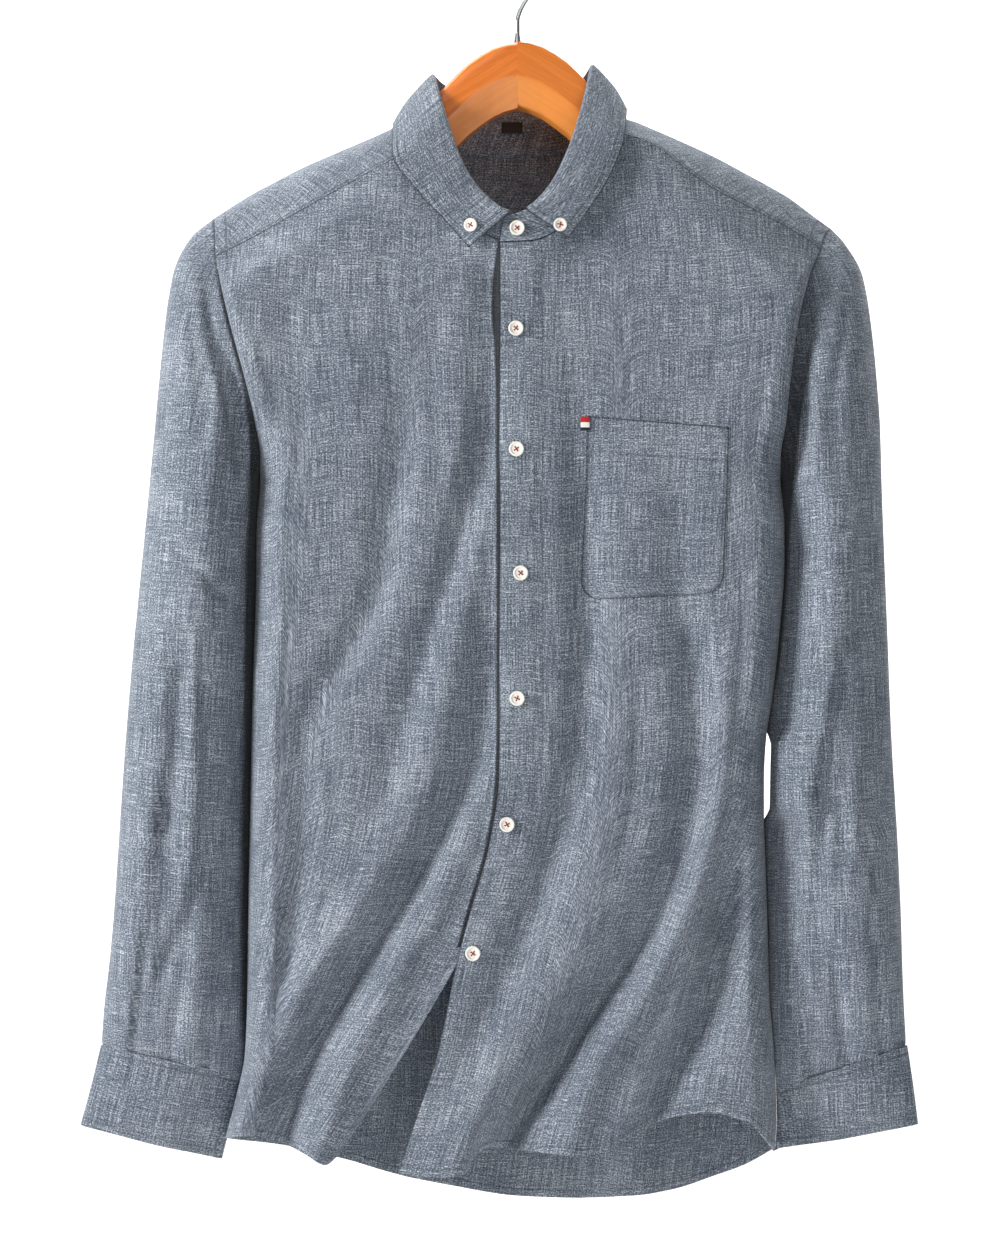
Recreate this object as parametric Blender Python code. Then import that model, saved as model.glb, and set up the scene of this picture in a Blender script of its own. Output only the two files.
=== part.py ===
"""Long-sleeve linen shirt hanging on a wooden hanger, as its cut pieces.

Tables are in millimetres. "x" runs to the wearer's left, "y" to the back, and "drop" runs down from
just under the hook. Tables give x and drop as they look from the eye, which stands EYE in front of
the placket at EYE_DROP, and place() moves each point out or in for its depth, so the far side of the
shirt is as much larger as it has to be. The origin is the inside of the hook's top, where a rod
carries it.
"""

import math

import bmesh
import bpy
import numpy as np

MM = 0.001
EYE = 1650.0  # from the eye to the plane of the placket
EYE_DROP = 493.5
FRONT_PLANE = -45.0  # y of the placket's plane, where the tables are true to size
HOOK_RISE = 12.0  # the rod's contact lies this far above drop 0

WALL = 1.2  # every cloth wall
GAP = 0.3  # between pieces at a seam
LAYER = WALL + 0.5  # from one cloth's outer face to the outer face of a piece on it
OVERLAP_STEP = 2.6  # the left front lies this far in front of the right one
PLACKET_WIDTH = 30.5
ROLL = 20.0  # how far in from its side the front starts to turn back

# Rows of every body panel: the curve at its top, the pocket's top, the underarm, the pocket's
# bottom, and the hem. Each entry is a level and the number of rows down to it.
POCKET_TOP, UNDERARM, POCKET_BOTTOM = 345.0, 388.0, 472.0
ROWS = {"front": (6, 2, 4, 14), "back": (5, 2, 2, 7)}

COLOURS = {
    "linen": (0.16, 0.21, 0.27, 1),
    "button": (0.85, 0.82, 0.78, 1),
    "tape": (0.55, 0.06, 0.06, 1),
    "label": (0.01, 0.01, 0.012, 1),
    "wood": (0.62, 0.27, 0.07, 1),
    "steel": (0.6, 0.6, 0.6, 1),
}

# The side of the body, as seen: x at each drop, for the wearer's right and left.
SIDE_RIGHT = (
    # drop, x
    (388, -188), (424, -190.5), (468, -191), (548, -193.5), (621, -195), (694, -196.5), (767, -197.5),
    (806, -199), (836, -205), (868, -213.5),
)
SIDE_LEFT = (
    # drop, x
    (388, 192), (420, 195), (446, 195), (504, 191), (548, 186), (577, 181.5), (607, 180),
    (636, 180), (665, 181), (694, 182), (767, 184.5), (804, 187.5), (855, 189), (876, 188),
)
SIDE_HEM = {-1: 868.0, 1: 876.0}

# The armholes: x, and how far the front and back halves stand out in y, at each drop.
ARMHOLE_RIGHT = (
    # drop, x, front y, back y
    (224, -221, -22, 28), (249, -216, -30, 35), (278, -209, -35, 39), (315, -199, -36, 39),
    (345, -192, -30, 33), (372, -188, -15, 18), (388, -188, 0, 0),
)
ARMHOLE_LEFT = (
    # drop, x, front y, back y
    (219, 221, -22, 28), (242, 212, -30, 35), (278, 204, -35, 39), (315, 199, -36, 39),
    (345, 196, -30, 33), (372, 192, -15, 18), (388, 192, 0, 0),
)

# The seam between a front and the yoke, from the armhole to the neck.
YOKE_SEAM_RIGHT = (
    # x, y, drop
    (-221, -22, 224), (-204, -25, 216), (-163.5, -29, 193.5), (-120, -31, 169), (-84, -30, 149),
    (-72, -27, 142),
)
YOKE_SEAM_LEFT = (
    # x, y, drop
    (221, -22, 219), (215, -23, 214), (187.6, -27, 198), (138.7, -31, 172), (92, -30, 139),
    (73, -27, 134),
)
# The top of the shoulders, from the armhole to the neck.
CREST_RIGHT = (
    # x, y, drop
    (-222, 1, 197), (-206.6, 1, 187), (-192, 1, 178), (-177.4, 1, 170.5), (-162.8, 1, 162.5),
    (-133.6, 1, 149.5), (-104.4, 1, 137), (-88, 1, 129.5),
)
CREST_LEFT = (
    # x, y, drop
    (229, 1, 204.5), (213.2, 1, 193), (198.6, 1, 182), (184, 1, 173.5), (169.4, 1, 165.5),
    (140.2, 1, 150), (111, 1, 136.8), (87, 1, 126.5),
)

# The neck, from the right front's end under the placket, round the back, to the left front's.
# "seam" is where the collar stand is sewn on, "fold" the stand's top, where the leaf turns over.
NECK = (
    # name, seam x, y, drop, fold x, y, drop
    ("under_end", 11, -52.0, 214, 10, -50.5, 193),
    ("right_front", -10, -52.0, 213, -6, -50.5, 192),
    ("right_point", -37, -48, 199, -22, -48, 182),
    ("right_chest", -60, -39, 172, -38, -42, 161),
    ("right_seam", -72, -27, 142, -51, -29, 128),
    ("right_side", -77, 1, 124, -61, 1, 93),
    ("right_back", -66, 32, 136, -55, 30, 99),
    ("right_nape", -38, 50, 149, -32, 47, 110),
    ("nape", 0, 56, 153, 0, 53, 114),
    ("left_nape", 38, 50, 148, 30, 47, 108),
    ("left_back", 66, 32, 133, 50, 30, 93),
    ("left_side", 75, 1, 121.5, 54, 1, 86),
    ("left_seam", 73, -27, 134, 46, -29, 119),
    ("left_chest", 61, -40, 166, 36, -43, 148),
    ("left_point", 41, -51, 196, 21, -51, 176),
    ("left_front", 10, -54.6, 213, 6, -53.1, 190),
    ("over_end", -13.5, -54.6, 214, -10, -53.1, 195),
)
# The leaf's outer edge against the fold's rows, and how far out the leaf stands half way down.
LEAF = (
    # fold row, edge x, y, drop, how far out of the stand it turns over
    ("right_front", -36, -52.5, 218, 5.6),
    ("right_point", -50, -52, 202, 2.6),
    ("right_chest", -74, -48, 176, 2.4),
    ("right_seam", -92, -36, 149, 2.8),
    ("right_side", -91, 1, 127, 3.0),
    ("right_back", -79, 40, 141, 3.0),
    ("right_nape", -44, 61, 158, 2.6),
    ("nape", 0, 67, 162, 2.6),
    ("left_nape", 43, 61, 156, 2.6),
    ("left_back", 77, 40, 138, 3.0),
    ("left_side", 80, 1, 116.5, 3.0),
    ("left_seam", 78, -37, 137, 2.8),
    ("left_chest", 66, -48, 168, 2.4),
    ("left_point", 52, -53, 190, 2.4),
    ("left_front", 37, -55.5, 211, 2.2),
)

# Front edges, as seen: the left front's edge, with the placket, and the right one's under it.
EDGE_LEFT = (
    # drop, x
    (214, -13), (400, -13), (560, -13), (607, -14), (658, -22), (700, -34), (742, -45), (804, -58),
    (850, -73), (894, -88),
)
EDGE_RIGHT = (
    # drop, x
    (214, 11), (560, 8), (620, 1), (670, -12), (705, -26), (742, -45), (775, -64), (811, -86),
    (848, -109), (880, -131),
)
# Hems, as seen: drop at each x.
HEM_RIGHT_FRONT = (
    # x, drop
    (-213, 868), (-199, 866.5), (-185, 868.5), (-170, 872.5), (-155.5, 880), (-141, 888), (-131, 881),
)
HEM_LEFT_FRONT = (
    # x, drop
    (-88, 893), (-58, 897), (-40, 896), (-30, 882), (-19, 875), (27, 880), (46, 882), (64, 877.5),
    (84, 866), (111, 853), (140, 850), (168, 857), (187, 876),
)
HEM_BACK = (
    # x, drop
    (-213, 868), (-170, 873), (-125, 883.5), (-87, 894.5), (-47, 902.5), (0, 910), (45, 911.5),
    (84, 910), (110, 906), (141, 896.5), (170, 885.5), (187, 876),
)

# Folds of the two fronts, as seen. A positive depth is a trough and a negative one a ridge.
# "left" and "right" are how wide the fold is on either side of its line.
FOLDS = {
    # name: (left, right, ((x, drop, depth), ...))
    "chest_hollow": (12, 12, ((-166, 240, 0), (-170, 285, 3), (-174, 330, 2), (-176, 370, 0))),
    "right_outer": (15, 13, (
        (-80, 290, 0), (-84, 366, 5), (-92, 402, 7), (-98, 453, 8), (-112, 490, 8), (-127, 519, 7),
        (-146, 548, 5), (-156, 592, 4), (-156, 658, 5), (-166, 709, 8), (-172, 745, 10),
        (-183, 782, 12), (-196, 806, 12), (-214, 840, 8))),
    "right_middle": (13, 12, (
        (-18, 290, 0), (-21, 330, 5), (-25, 366, 8), (-39, 409, 9), (-53, 461, 8), (-68, 512, 6),
        (-83, 563, 5), (-98, 614, 3), (-110, 650, 0))),
    "right_inner": (17, 11, (
        (-22, 430, 0), (-22, 504, 6), (-26, 548, 9), (-34, 592, 12), (-53, 636, 14), (-80, 687, 15),
        (-109, 731, 16), (-138, 782, 17), (-160, 826, 18), (-172, 866, 18))),
    "right_sweep": (14, 16, (
        (-30, 431, 0), (-44, 504, -3), (-58, 563, -4), (-72, 621, -4), (-88, 650, -5),
        (-124, 709, -7), (-160, 760, -9), (-188, 804, -10), (-208, 862, -10))),
    "right_lap": (13, 13, (
        (-28, 630, 0), (-57, 694, -4), (-87, 745, -6), (-109, 789, -8), (-127, 826, -9), (-146, 880, -9))),
    "left_inner": (13, 15, (
        (44, 310, 0), (46, 351, 3), (48, 402, 6), (50, 475, 7), (48, 548, 7), (45, 599, 7),
        (32, 636, 7), (17, 680, 8), (-1, 723, 8), (-13, 753, 8), (-30, 800, 5), (-50, 850, 0))),
    "left_broad": (24, 20, (
        (74, 520, 0), (66, 600, -3), (58, 658, -4), (38, 731, -6), (10, 782, -8), (-18, 833, -10),
        (-44, 894, -10))),
    "left_middle": (15, 13, (
        (118, 330, 0), (118, 420, 3), (119, 475, 4), (129, 512, 8), (131, 592, 12), (122, 643, 14),
        (107, 687, 17), (89, 723, 19), (64, 760, 21), (39, 796, 22), (16, 833, 23), (-4, 862, 23),
        (-20, 894, 22))),
    "left_ridge": (13, 10, (
        (151, 510, 0), (151, 560, -4), (148, 607, -6), (137, 658, -7), (126, 694, -8), (107, 738, -8),
        (88, 775, -8), (63, 811, -8), (36, 880, -6))),
    "left_side": (9, 20, (
        (180, 560, 0), (177, 600, 8), (170, 636, 15), (157, 680, 21), (147, 716, 24), (139, 753, 24),
        (128, 782, 23), (114, 811, 21), (101, 840, 18), (84, 880, 14))),
    "left_side_crease": (6, 6, (
        (170, 670, 0), (168, 694, 4), (164, 723, 6), (159, 753, 5), (156, 785, 0))),
}
# Folds of the back: soft pleats that fall from the yoke.
BACK_FOLDS = {
    "pleat_right": (13, 13, ((-62, 225, -2), (-64, 330, -6), (-70, 560, -8), (-84, 900, -12))),
    "pleat_left": (13, 13, ((60, 225, -2), (62, 330, -6), (60, 560, -8), (48, 900, -12))),
    "hollow_right": (17, 17, ((-100, 240, 0), (-106, 400, 5), (-118, 640, 9), (-132, 900, 15))),
    "hollow_middle": (20, 20, ((-4, 240, 0), (-6, 420, 4), (-16, 640, 7), (-26, 900, 12))),
    "hollow_left": (17, 17, ((100, 240, 0), (104, 400, 5), (100, 640, 9), (88, 900, 16))),
    "ridge_right": (14, 14, ((-140, 360, 0), (-150, 560, -5), (-170, 880, -10))),
    "ridge_left": (14, 14, ((140, 360, 0), (140, 560, -5), (134, 900, -9))),
}

# Columns of each front: from its edge to the placket's stitching, the pocket's near side, the
# neck end of the yoke seam, the pocket's far side, the start of the roll, and the side.
FRONT_GUIDES = {
    1: (
        # drop, x of the pocket's near side, the neck, the pocket's far side
        (214, 47, 73, 154), (345, 52.8, 77, 154), (472, 45.5, 72, 149), (548, 44, 72, 146),
        (621, 36, 66, 138), (694, 22, 52, 124), (767, 0, 30, 104), (840, -22, 8, 84), (900, -36, -6, 72),
    ),
    -1: (
        (214, -36, -72, -150), (345, -36, -82, -152), (402, -37, -91, -153), (453, -39, -99, -156),
        (490, -41, -112, -160), (519, -43, -125, -164), (548, -46, -138, -167), (592, -52, -150, -170),
        (636, -68, -157, -173), (687, -92, -163, -176), (731, -116, -169, -179), (782, -142, -181, -185),
        (826, -163, -190, -195), (870, -176, -198, -203),
    ),
}
FRONT_COLUMNS = {
    # to the placket's stitching, the pocket, the neck, the pocket's far side, the roll, the side
    1: (3, 2, 2, 6, 2, 4),
    -1: (2, 3, 5, 4, 1, 4),
}
BACK_COLUMNS = {"roll": 4, "flat": 23}
# The back yoke seam, between its two ends on the armholes.
BACK_CORNER = 236.0  # drop of its ends
BACK_SEAM = (
    # x, y, drop
    (-205, 36, 239), (-140, 43, 247), (-60, 45, 250), (0, 45, 250), (60, 45, 250), (140, 43, 247),
    (205, 36, 239),
)
# The yoke's lines over the shoulder, from the crest: shares of the way in y and in drop.
YOKE_FRONT = ((0, 0), (0.22, 0.04), (0.45, 0.18), (0.72, 0.52), (1, 1))
YOKE_BEHIND = ((0.3, 0.05), (0.62, 0.22), (0.86, 0.54), (1, 1))
YOKE_ROWS = 8
NAPE_Y = 56.0
NECK_COLUMNS = 5  # on each side of the nape

# The pieces' depths: y of the fronts' and the back's flat at each drop.
DEPTH = (
    # drop, front y, back y
    (140, -30, 40), (200, -44, 44), (260, -47, 46), (400, -46, 46), (600, -44, 44), (800, -42, 43),
    (920, -42, 42),
)

# The sleeves: the outer and inner ends of each ring, its half depth and the y of its middle.
SLEEVE_RIGHT = (
    # outer x, drop, inner x, drop, half depth, middle y
    (-239.5, 212, -189.8, 392, 40, 2),
    (-249, 228, -190.4, 399, 44, 2),
    (-255, 256, -191, 409, 47, 2),
    (-260.6, 305, -191.8, 424, 49, 2),
    (-265, 352, -192, 444, 50, 2),
    (-269.5, 400, -192.3, 468, 49, 2),
    (-274, 446, -193.2, 500, 47, 2),
    (-280.5, 512, -194.6, 540, 44, 2),
    (-286, 577, -195.7, 590, 42, 2),
    (-290.5, 643, -197, 648, 40, 2),
    (-295, 709, -198, 707, 36, 2),
    (-299.5, 755, -198.9, 762, 30, 3),
    (-303, 785, -200.8, 804, 20, 4),
    (-304, 799, -203, 822, 14, 4),
)
SLEEVE_LEFT = (
    # outer x, drop, inner x, drop, half depth, middle y
    (238, 214, 194, 392, 40, 0),
    (248.5, 228, 195.5, 399, 44, 0),
    (255.5, 256, 196.4, 409, 47, 0),
    (261.5, 305, 196.8, 424, 49, 0),
    (265, 355, 196.5, 446, 50, 0),
    (266.2, 400, 195.4, 470, 49, -2),
    (268, 446, 193, 500, 47, -4),
    (270.5, 512, 189.6, 530, 45, -6),
    (273, 577, 184.8, 585, 43, -8),
    (277, 643, 184, 645, 41, -8),
    (280, 709, 184, 710, 37, -8),
    (281.5, 760, 186, 768, 30, -8),
    (283, 787, 189.6, 812, 20, -8),
    (284, 799, 190.4, 832, 14, -8),
)
CUFF_RIGHT = (
    # outer x, drop, inner x, drop, half depth, middle y
    (-304, 800, -204.5, 823, 14, 4),
    (-311, 829, -211, 853.5, 12.5, 4),
    (-319, 858.5, -219, 885, 11, 4),
)
CUFF_LEFT = (
    # outer x, drop, inner x, drop, half depth, middle y
    (284.5, 800, 190.5, 833, 14, -8),
    (289, 830, 190, 855, 12.5, -8),
    (292.5, 858, 189.5, 878, 11, -8),
)
SLEEVE_ROWS = 17
# Sleeve folds: how deep, where round the sleeve (0 is outermost, 0.25 the front, 0.5 the body's
# side), how wide as a share of the way round, and the drops where it starts, peaks and ends.
SLEEVE_FOLDS = {
    "right": (
        # place, width, depth, start, peak, end
        (0.22, 0.055, 9, 420, 740, 1000),
        (0.38, 0.05, 6, 640, 930, 1060),
        (0.72, 0.06, 8, 400, 640, 1000),
    ),
    "left": (
        (0.14, 0.05, 6, 330, 560, 720),
        (0.27, 0.06, 8, 560, 800, 1060),
        (0.75, 0.06, 8, 400, 640, 1000),
    ),
}

STAND_COLUMNS, LEAF_COLUMNS, LEAF_ROWS = 37, 33, 5
PLACKET_TOP_SHARE = 0.06  # how far down its first row the placket starts, under the collar's seam
CUFF_WALL = 1.8  # two cloths and an interlining
CUFF_COLUMNS = 24
CUFF_BUTTON_TURN = 19  # the cuff's column that carries its button, at the back
TAB = {"x": 45.7, "drop": 341.5, "width": 6.4, "height": 10.0, "thick": 1.0}
LABEL = {"x": -11.0, "drop": 126.5, "width": 15.0, "height": 8.0, "thick": 0.7, "y": 50.9}

BUTTON = {"radius": 5.5, "thick": 2.4, "sides": 14}
SMALL_BUTTON = {"radius": 4.9, "thick": 2.2, "sides": 14}
BUTTON_LIFT = 0.6  # a button stands this far off the cloth, on its thread
# Placket buttons, as seen, from the collar down.
BUTTONS = (
    # x, drop
    (-1.5, 277), (-1, 365), (2, 455.5), (-0.5, 547), (-8, 639), (-33, 733),
)

STAND_BUTTON = (-0.7, 204)
POINT_BUTTONS = {"right": (-34.3, 201.5), "left": (30.7, 201.5)}

HANGER_ARM = 206.0
HANGER_CLEAR = 3.9  # between the hanger's top and the cloth over it
HANGER_THICK = 24.0
# The hanger's visible top and bottom, as seen.
HANGER_TOP = (
    # x, drop
    (0, 67.5), (12, 69), (25, 75), (38, 84), (50, 96.5), (60, 107.5), (68, 118.5), (77, 131), (93, 142),
)
HANGER_HEIGHT = ((0, 44), (30, 43), (60, 39), (120, 31), (180, 24), (206, 20))
HANGER_STATIONS = (0.15, 8, 16, 25, 34, 43, 52, 60, 68, 77, 93, 122, 150, 178, 196, 203, 206)
# The hanger's cross-section: y as a share of its half thickness, and how far below its top, in
# millimetres from the top or, where marked, from the bottom.
HANGER_SECTION = (
    # y share, below the top, from the bottom
    (0, 0, False), (-0.5, 1.7, False), (-0.85, 5.6, False), (-1, 11.5, False), (-1, -3, True),
    (-0.75, 1.2, True), (-0.3, 3, True), (0.3, 3, True), (0.75, 1.2, True), (1, -3, True),
    (1, 11.5, False), (0.85, 5.6, False), (0.5, 1.7, False),
)
HOOK_WIRE = 1.8  # radius
HOOK_SHANK = ((0, 8), (0, 16), (1.6, 22), (6.4, 31), (12, 37))  # x and rise over the hanger's top
HOOK_RADIUS = 19.3  # of the wire's middle, round the rod's middle


def place(point):
    """A table's x, y and drop as a real point in millimetres."""
    x, y, drop = point[..., 0], point[..., 1], point[..., 2]
    scale = 1 + (y - FRONT_PLANE) / EYE
    z = -(EYE_DROP + (drop - EYE_DROP) * scale) - HOOK_RISE
    return np.stack([x * scale, y, z], axis=-1)


def smooth(table, at):
    """The table's other columns at each value of its first one, on a smooth curve."""
    rows = np.array([[float(value) for value in row] for row in table])
    if rows[0, 0] > rows[-1, 0]:
        rows = rows[::-1]
    at = np.clip(np.asarray(at, float), rows[0, 0], rows[-1, 0])
    key = rows[:, 0]
    steps = np.diff(key)
    slope = np.diff(rows[:, 1:], axis=0) / steps[:, None]
    bend = np.zeros_like(rows[:, 1:])
    same = slope[:-1] * slope[1:] > 0
    inner = np.zeros_like(slope[:-1])
    inner[same] = 2 * slope[:-1][same] * slope[1:][same] / (slope[:-1] + slope[1:])[same]
    bend[1:-1] = inner
    bend[0], bend[-1] = slope[0], slope[-1]
    index = np.clip(np.searchsorted(key, at, side="right") - 1, 0, len(key) - 2)
    share = ((at - key[index]) / steps[index])[..., None]
    step = steps[index][..., None]
    low, high = rows[index, 1:], rows[index + 1, 1:]
    out = (
        low * (1 + 2 * share) * (1 - share) ** 2
        + high * share**2 * (3 - 2 * share)
        + bend[index] * step * share * (1 - share) ** 2
        - bend[index + 1] * step * share**2 * (1 - share)
    )
    return out[..., 0] if out.shape[-1] == 1 else out


def along(rows, shares):
    """Points at shares of the way along a smooth curve through the rows."""
    rows = np.asarray(rows, float)
    return smooth(np.column_stack([way_along(rows), rows]), shares)


def ease(value):
    """0 to 1 with soft ends."""
    value = np.clip(value, 0, 1)
    return value * value * (3 - 2 * value)


def fold_depth(folds, x, drop):
    """How far the folds push the cloth in, in y, at each x and drop."""
    depth = np.zeros(np.broadcast(x, drop).shape)
    for left, right, line in folds.values():
        table = [(row[1], row[0], row[2]) for row in line]
        at = smooth(table, drop)
        inside = (drop >= table[0][0]) & (drop <= table[-1][0] + 40)
        off = x - at[..., 0]
        width = np.where(off < 0, left, right)
        depth += np.where(inside, at[..., 1], 0) * np.exp(-((off / width) ** 2))
    return depth


def front_y(x, drop, side_gap):
    """y of a front's outer face, side_gap from its side: its flat, with the folds fading at the side."""
    flat = smooth([row[:2] for row in DEPTH], drop)
    return flat + fold_depth(FOLDS, x, drop) * ease(side_gap / 42)


def back_y(x, drop, side_gap):
    flat = smooth([(row[0], row[2]) for row in DEPTH], drop)
    return flat - fold_depth(BACK_FOLDS, x, drop) * ease(side_gap / 42)


def armhole(side, drops, part):
    """Points down an armhole's front or back half."""
    table = ARMHOLE_RIGHT if side < 0 else ARMHOLE_LEFT
    at = smooth(table, drops)
    y = at[:, 1] if part == "front" else at[:, 2]
    return np.column_stack([at[:, 0], y, drops])


def row_levels(top, hem, part):
    """A column's drops, row by row, from its top to its hem."""
    arm, underarm, waist, skirt = ROWS[part]
    parts = (
        (top, POCKET_TOP, arm),
        (POCKET_TOP, UNDERARM, underarm),
        (UNDERARM, POCKET_BOTTOM, waist),
        (POCKET_BOTTOM, hem, skirt),
    )
    drops = [np.linspace(a, b, n, endpoint=False) for a, b, n in parts]
    return np.concatenate(drops + [[hem]])


def arm_rows(part):
    """Rows of a panel down its armhole, to the underarm."""
    return ROWS[part][0] + ROWS[part][1]


def side_points(side, part):
    """The outermost column of a body panel: down the armhole, then down the side seam."""
    corner = (ARMHOLE_RIGHT if side < 0 else ARMHOLE_LEFT)[0][0]
    top = corner if part == "front" else BACK_CORNER
    drops = row_levels(top, SIDE_HEM[side], part)
    arm = arm_rows(part)
    points = armhole(side, drops[: arm + 1], part)
    seam_x = smooth(SIDE_RIGHT if side < 0 else SIDE_LEFT, drops[arm + 1 :])
    seam = np.column_stack([seam_x, np.zeros(len(seam_x)), drops[arm + 1 :]])
    return np.vstack([points, seam])


def spread(keys, counts):
    """Values from key to key, each span cut into its own count of equal steps."""
    values = [np.linspace(a, b, n, endpoint=False) for a, b, n in zip(keys, keys[1:], counts)]
    return np.concatenate([*values, [keys[-1]]])


def front_grid(side):
    """The outer face of a front, rows down and columns from its edge to its side, as seen."""
    if side > 0:
        edge_table, seam_table, hem_table = EDGE_LEFT, YOKE_SEAM_LEFT, HEM_LEFT_FRONT
    else:
        edge_table, seam_table, hem_table = EDGE_RIGHT, YOKE_SEAM_RIGHT, HEM_RIGHT_FRONT
    outer = side_points(side, "front")
    names = [row[0] for row in NECK]
    neck_rows = np.array([row[1:4] for row in NECK], float)
    ends = ("left_seam", "over_end") if side > 0 else ("right_seam", "under_end")
    a, b = sorted(names.index(name) for name in ends)
    neckline = neck_rows[a : b + 1]
    counts = FRONT_COLUMNS[side]
    total = sum(counts) + 1
    neck_column = sum(counts[:3])
    rows = len(outer)

    # The top of every column.
    seam = np.array(seam_table, float)
    edge_x = smooth(edge_table, 214.0)
    guide_top = smooth(FRONT_GUIDES[side], 214.0)
    flat_top = seam[0, 0] - side * 6
    inner = (guide_top[0], seam[-1, 0], guide_top[2])
    top_x = spread((edge_x, edge_x + side * PLACKET_WIDTH, *inner, flat_top, seam[0, 0]), counts)
    neck_table = sorted((row[0], row[1], row[2]) for row in neckline)
    seam_rows = sorted(tuple(row) for row in seam_table)
    top = np.where(
        (np.arange(total) <= neck_column)[:, None], smooth(neck_table, top_x), smooth(seam_rows, top_x)
    )

    grid = np.zeros((rows, total, 3))
    turn = np.linspace(0, math.pi / 2, counts[-1] + 1)
    first = total - counts[-1] - 1
    # Drops, column by column; x, row by row.
    hems = np.zeros(total)
    for _ in range(3):  # the hem's drop depends on x, and x on the drop
        for column in range(total):
            drops = row_levels(top[column, 1], hems[column] or 880.0, "front")
            grid[:, column, 2] = drops
        grid[:, -1, 2] = outer[:, 2]
        for row in range(rows):
            drop = grid[row, :, 2]
            edge = smooth(edge_table, drop[0])
            guides = smooth(FRONT_GUIDES[side], drop[neck_column])
            side_x = outer[row, 0]
            roll = 6 + (ROLL - 6) * ease(row / arm_rows("front"))
            keys = [edge, edge + side * PLACKET_WIDTH, *guides, side_x - side * roll]
            grid[row, : first + 1, 0] = spread(keys, counts[:-1])
            grid[row, first:, 0] = side_x - side * roll * (1 - np.sin(turn))
        grid[0, :, 0] = top_x
        hems = smooth(sorted(hem_table), grid[-1, :, 0])
        hems[-1] = SIDE_HEM[side]

    x, drop = grid[..., 0], grid[..., 2]
    gap = np.abs(x - outer[:, None, 0])
    y = front_y(x, drop, gap)
    for index, angle in enumerate(turn):
        column = first + index
        y[:, column] = outer[:, 1] + (y[:, column] - outer[:, 1]) * np.cos(angle)
    if side > 0:
        y -= OVERLAP_STEP * ease((72 - x + smooth(EDGE_LEFT, drop)) / 45)
    # The top rows ease on to the yoke seam and the neckline.
    for row in range(ROWS["front"][0]):
        share = 1 - ease(row / ROWS["front"][0])
        y[row] = y[row] + share * (top[:, 0] - y[0])
    y[0] = top[:, 0]
    y[:, -1] = outer[:, 1]
    grid[..., 1] = y
    return grid


def back_grid():
    """The outer face of the back, columns from the wearer's right to the left, as seen."""
    right, left = side_points(-1, "back"), side_points(1, "back")
    rows = len(right)
    roll, flat = BACK_COLUMNS["roll"], BACK_COLUMNS["flat"]
    total = 2 * roll + flat + 1
    grid = np.zeros((rows, total, 3))
    angles = np.linspace(0, math.pi / 2, roll + 1)
    turn = np.concatenate([np.sin(angles[:-1]), np.ones(flat + 1), np.sin(angles[:-1])[::-1]])
    for row in range(rows):
        width = 6 + (ROLL - 6) * ease(row / arm_rows("back"))
        a, b = right[row, 0], left[row, 0]
        rise = width * (1 - np.cos(angles[:-1]))
        x = np.concatenate([a + rise, np.linspace(a + width, b - width, flat + 1), (b - rise)[::-1]])
        grid[row, :, 0] = x
    seam_top = back_seam(grid[0, :, 0])
    for column in range(total):
        hem = smooth(HEM_BACK, grid[-1, column, 0])
        grid[:, column, 2] = row_levels(seam_top[column, 2], hem, "back")
    grid[:, 0, 2], grid[:, -1, 2] = right[:, 2], left[:, 2]
    x, drop = grid[..., 0], grid[..., 2]
    gap = np.minimum(np.abs(x - right[:, None, 0]), np.abs(x - left[:, None, 0]))
    y = back_y(x, drop, gap)
    edge = np.where(np.arange(total) < total / 2, right[:, None, 1], left[:, None, 1])
    y = edge + (y - edge) * turn
    for row in range(ROWS["back"][0]):
        share = 1 - ease(row / ROWS["back"][0])
        y[row] = y[row] + share * (seam_top[:, 1] - y[0])
    y[0] = seam_top[:, 1]
    y[:, 0], y[:, -1] = right[:, 1], left[:, 1]
    grid[..., 1] = y
    return grid


def back_seam(x):
    """The seam between back and yoke at each x."""
    right, left = (armhole(side, np.array([BACK_CORNER]), "back")[0] for side in (-1, 1))
    at = smooth((tuple(right), *BACK_SEAM, tuple(left)), x)
    return np.column_stack([x, at])


def yoke_grid(right_front, left_front, back):
    """The outer face of the yoke: rows from its front edge over the shoulders to its back edge."""
    shoulder_right = right_front[0, sum(FRONT_COLUMNS[-1][:3]) :][::-1]
    shoulder_left = left_front[0, sum(FRONT_COLUMNS[1][:3]) :]
    names = [row[0] for row in NECK]
    a, b = names.index("right_seam"), names.index("left_seam")
    neck = neck_curve("seam", a, b, 2 * NECK_COLUMNS + 1)
    front = np.vstack([shoulder_right, neck[1:-1], shoulder_left])
    columns = len(front)
    # The crest's x over each shoulder column, and the back seam's.
    crest_right = along(CREST_RIGHT, way_along(shoulder_right))
    crest_left = along(CREST_LEFT, way_along(shoulder_left[::-1]))[::-1]
    behind = back[0]
    grid = np.zeros((YOKE_ROWS + 1, columns, 3))
    for column in range(columns):
        start, end = front[column], behind[column]
        if column < len(shoulder_right):
            grid[:, column] = over(start, crest_right[column], end)
        elif column >= columns - len(shoulder_left):
            grid[:, column] = over(start, crest_left[column - columns], end)
        else:
            grid[:, column] = below_neck(start, end)
    return grid


def over(start, crest, end):
    """A line over the shoulder: level at its crest, and steeper the further down it is."""
    front = [crest + (start - crest) * (a, a, b) for a, b in YOKE_FRONT[::-1]]
    behind = [crest + (end - crest) * (b, a, b) for a, b in YOKE_BEHIND]
    return np.array(front + behind)


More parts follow.
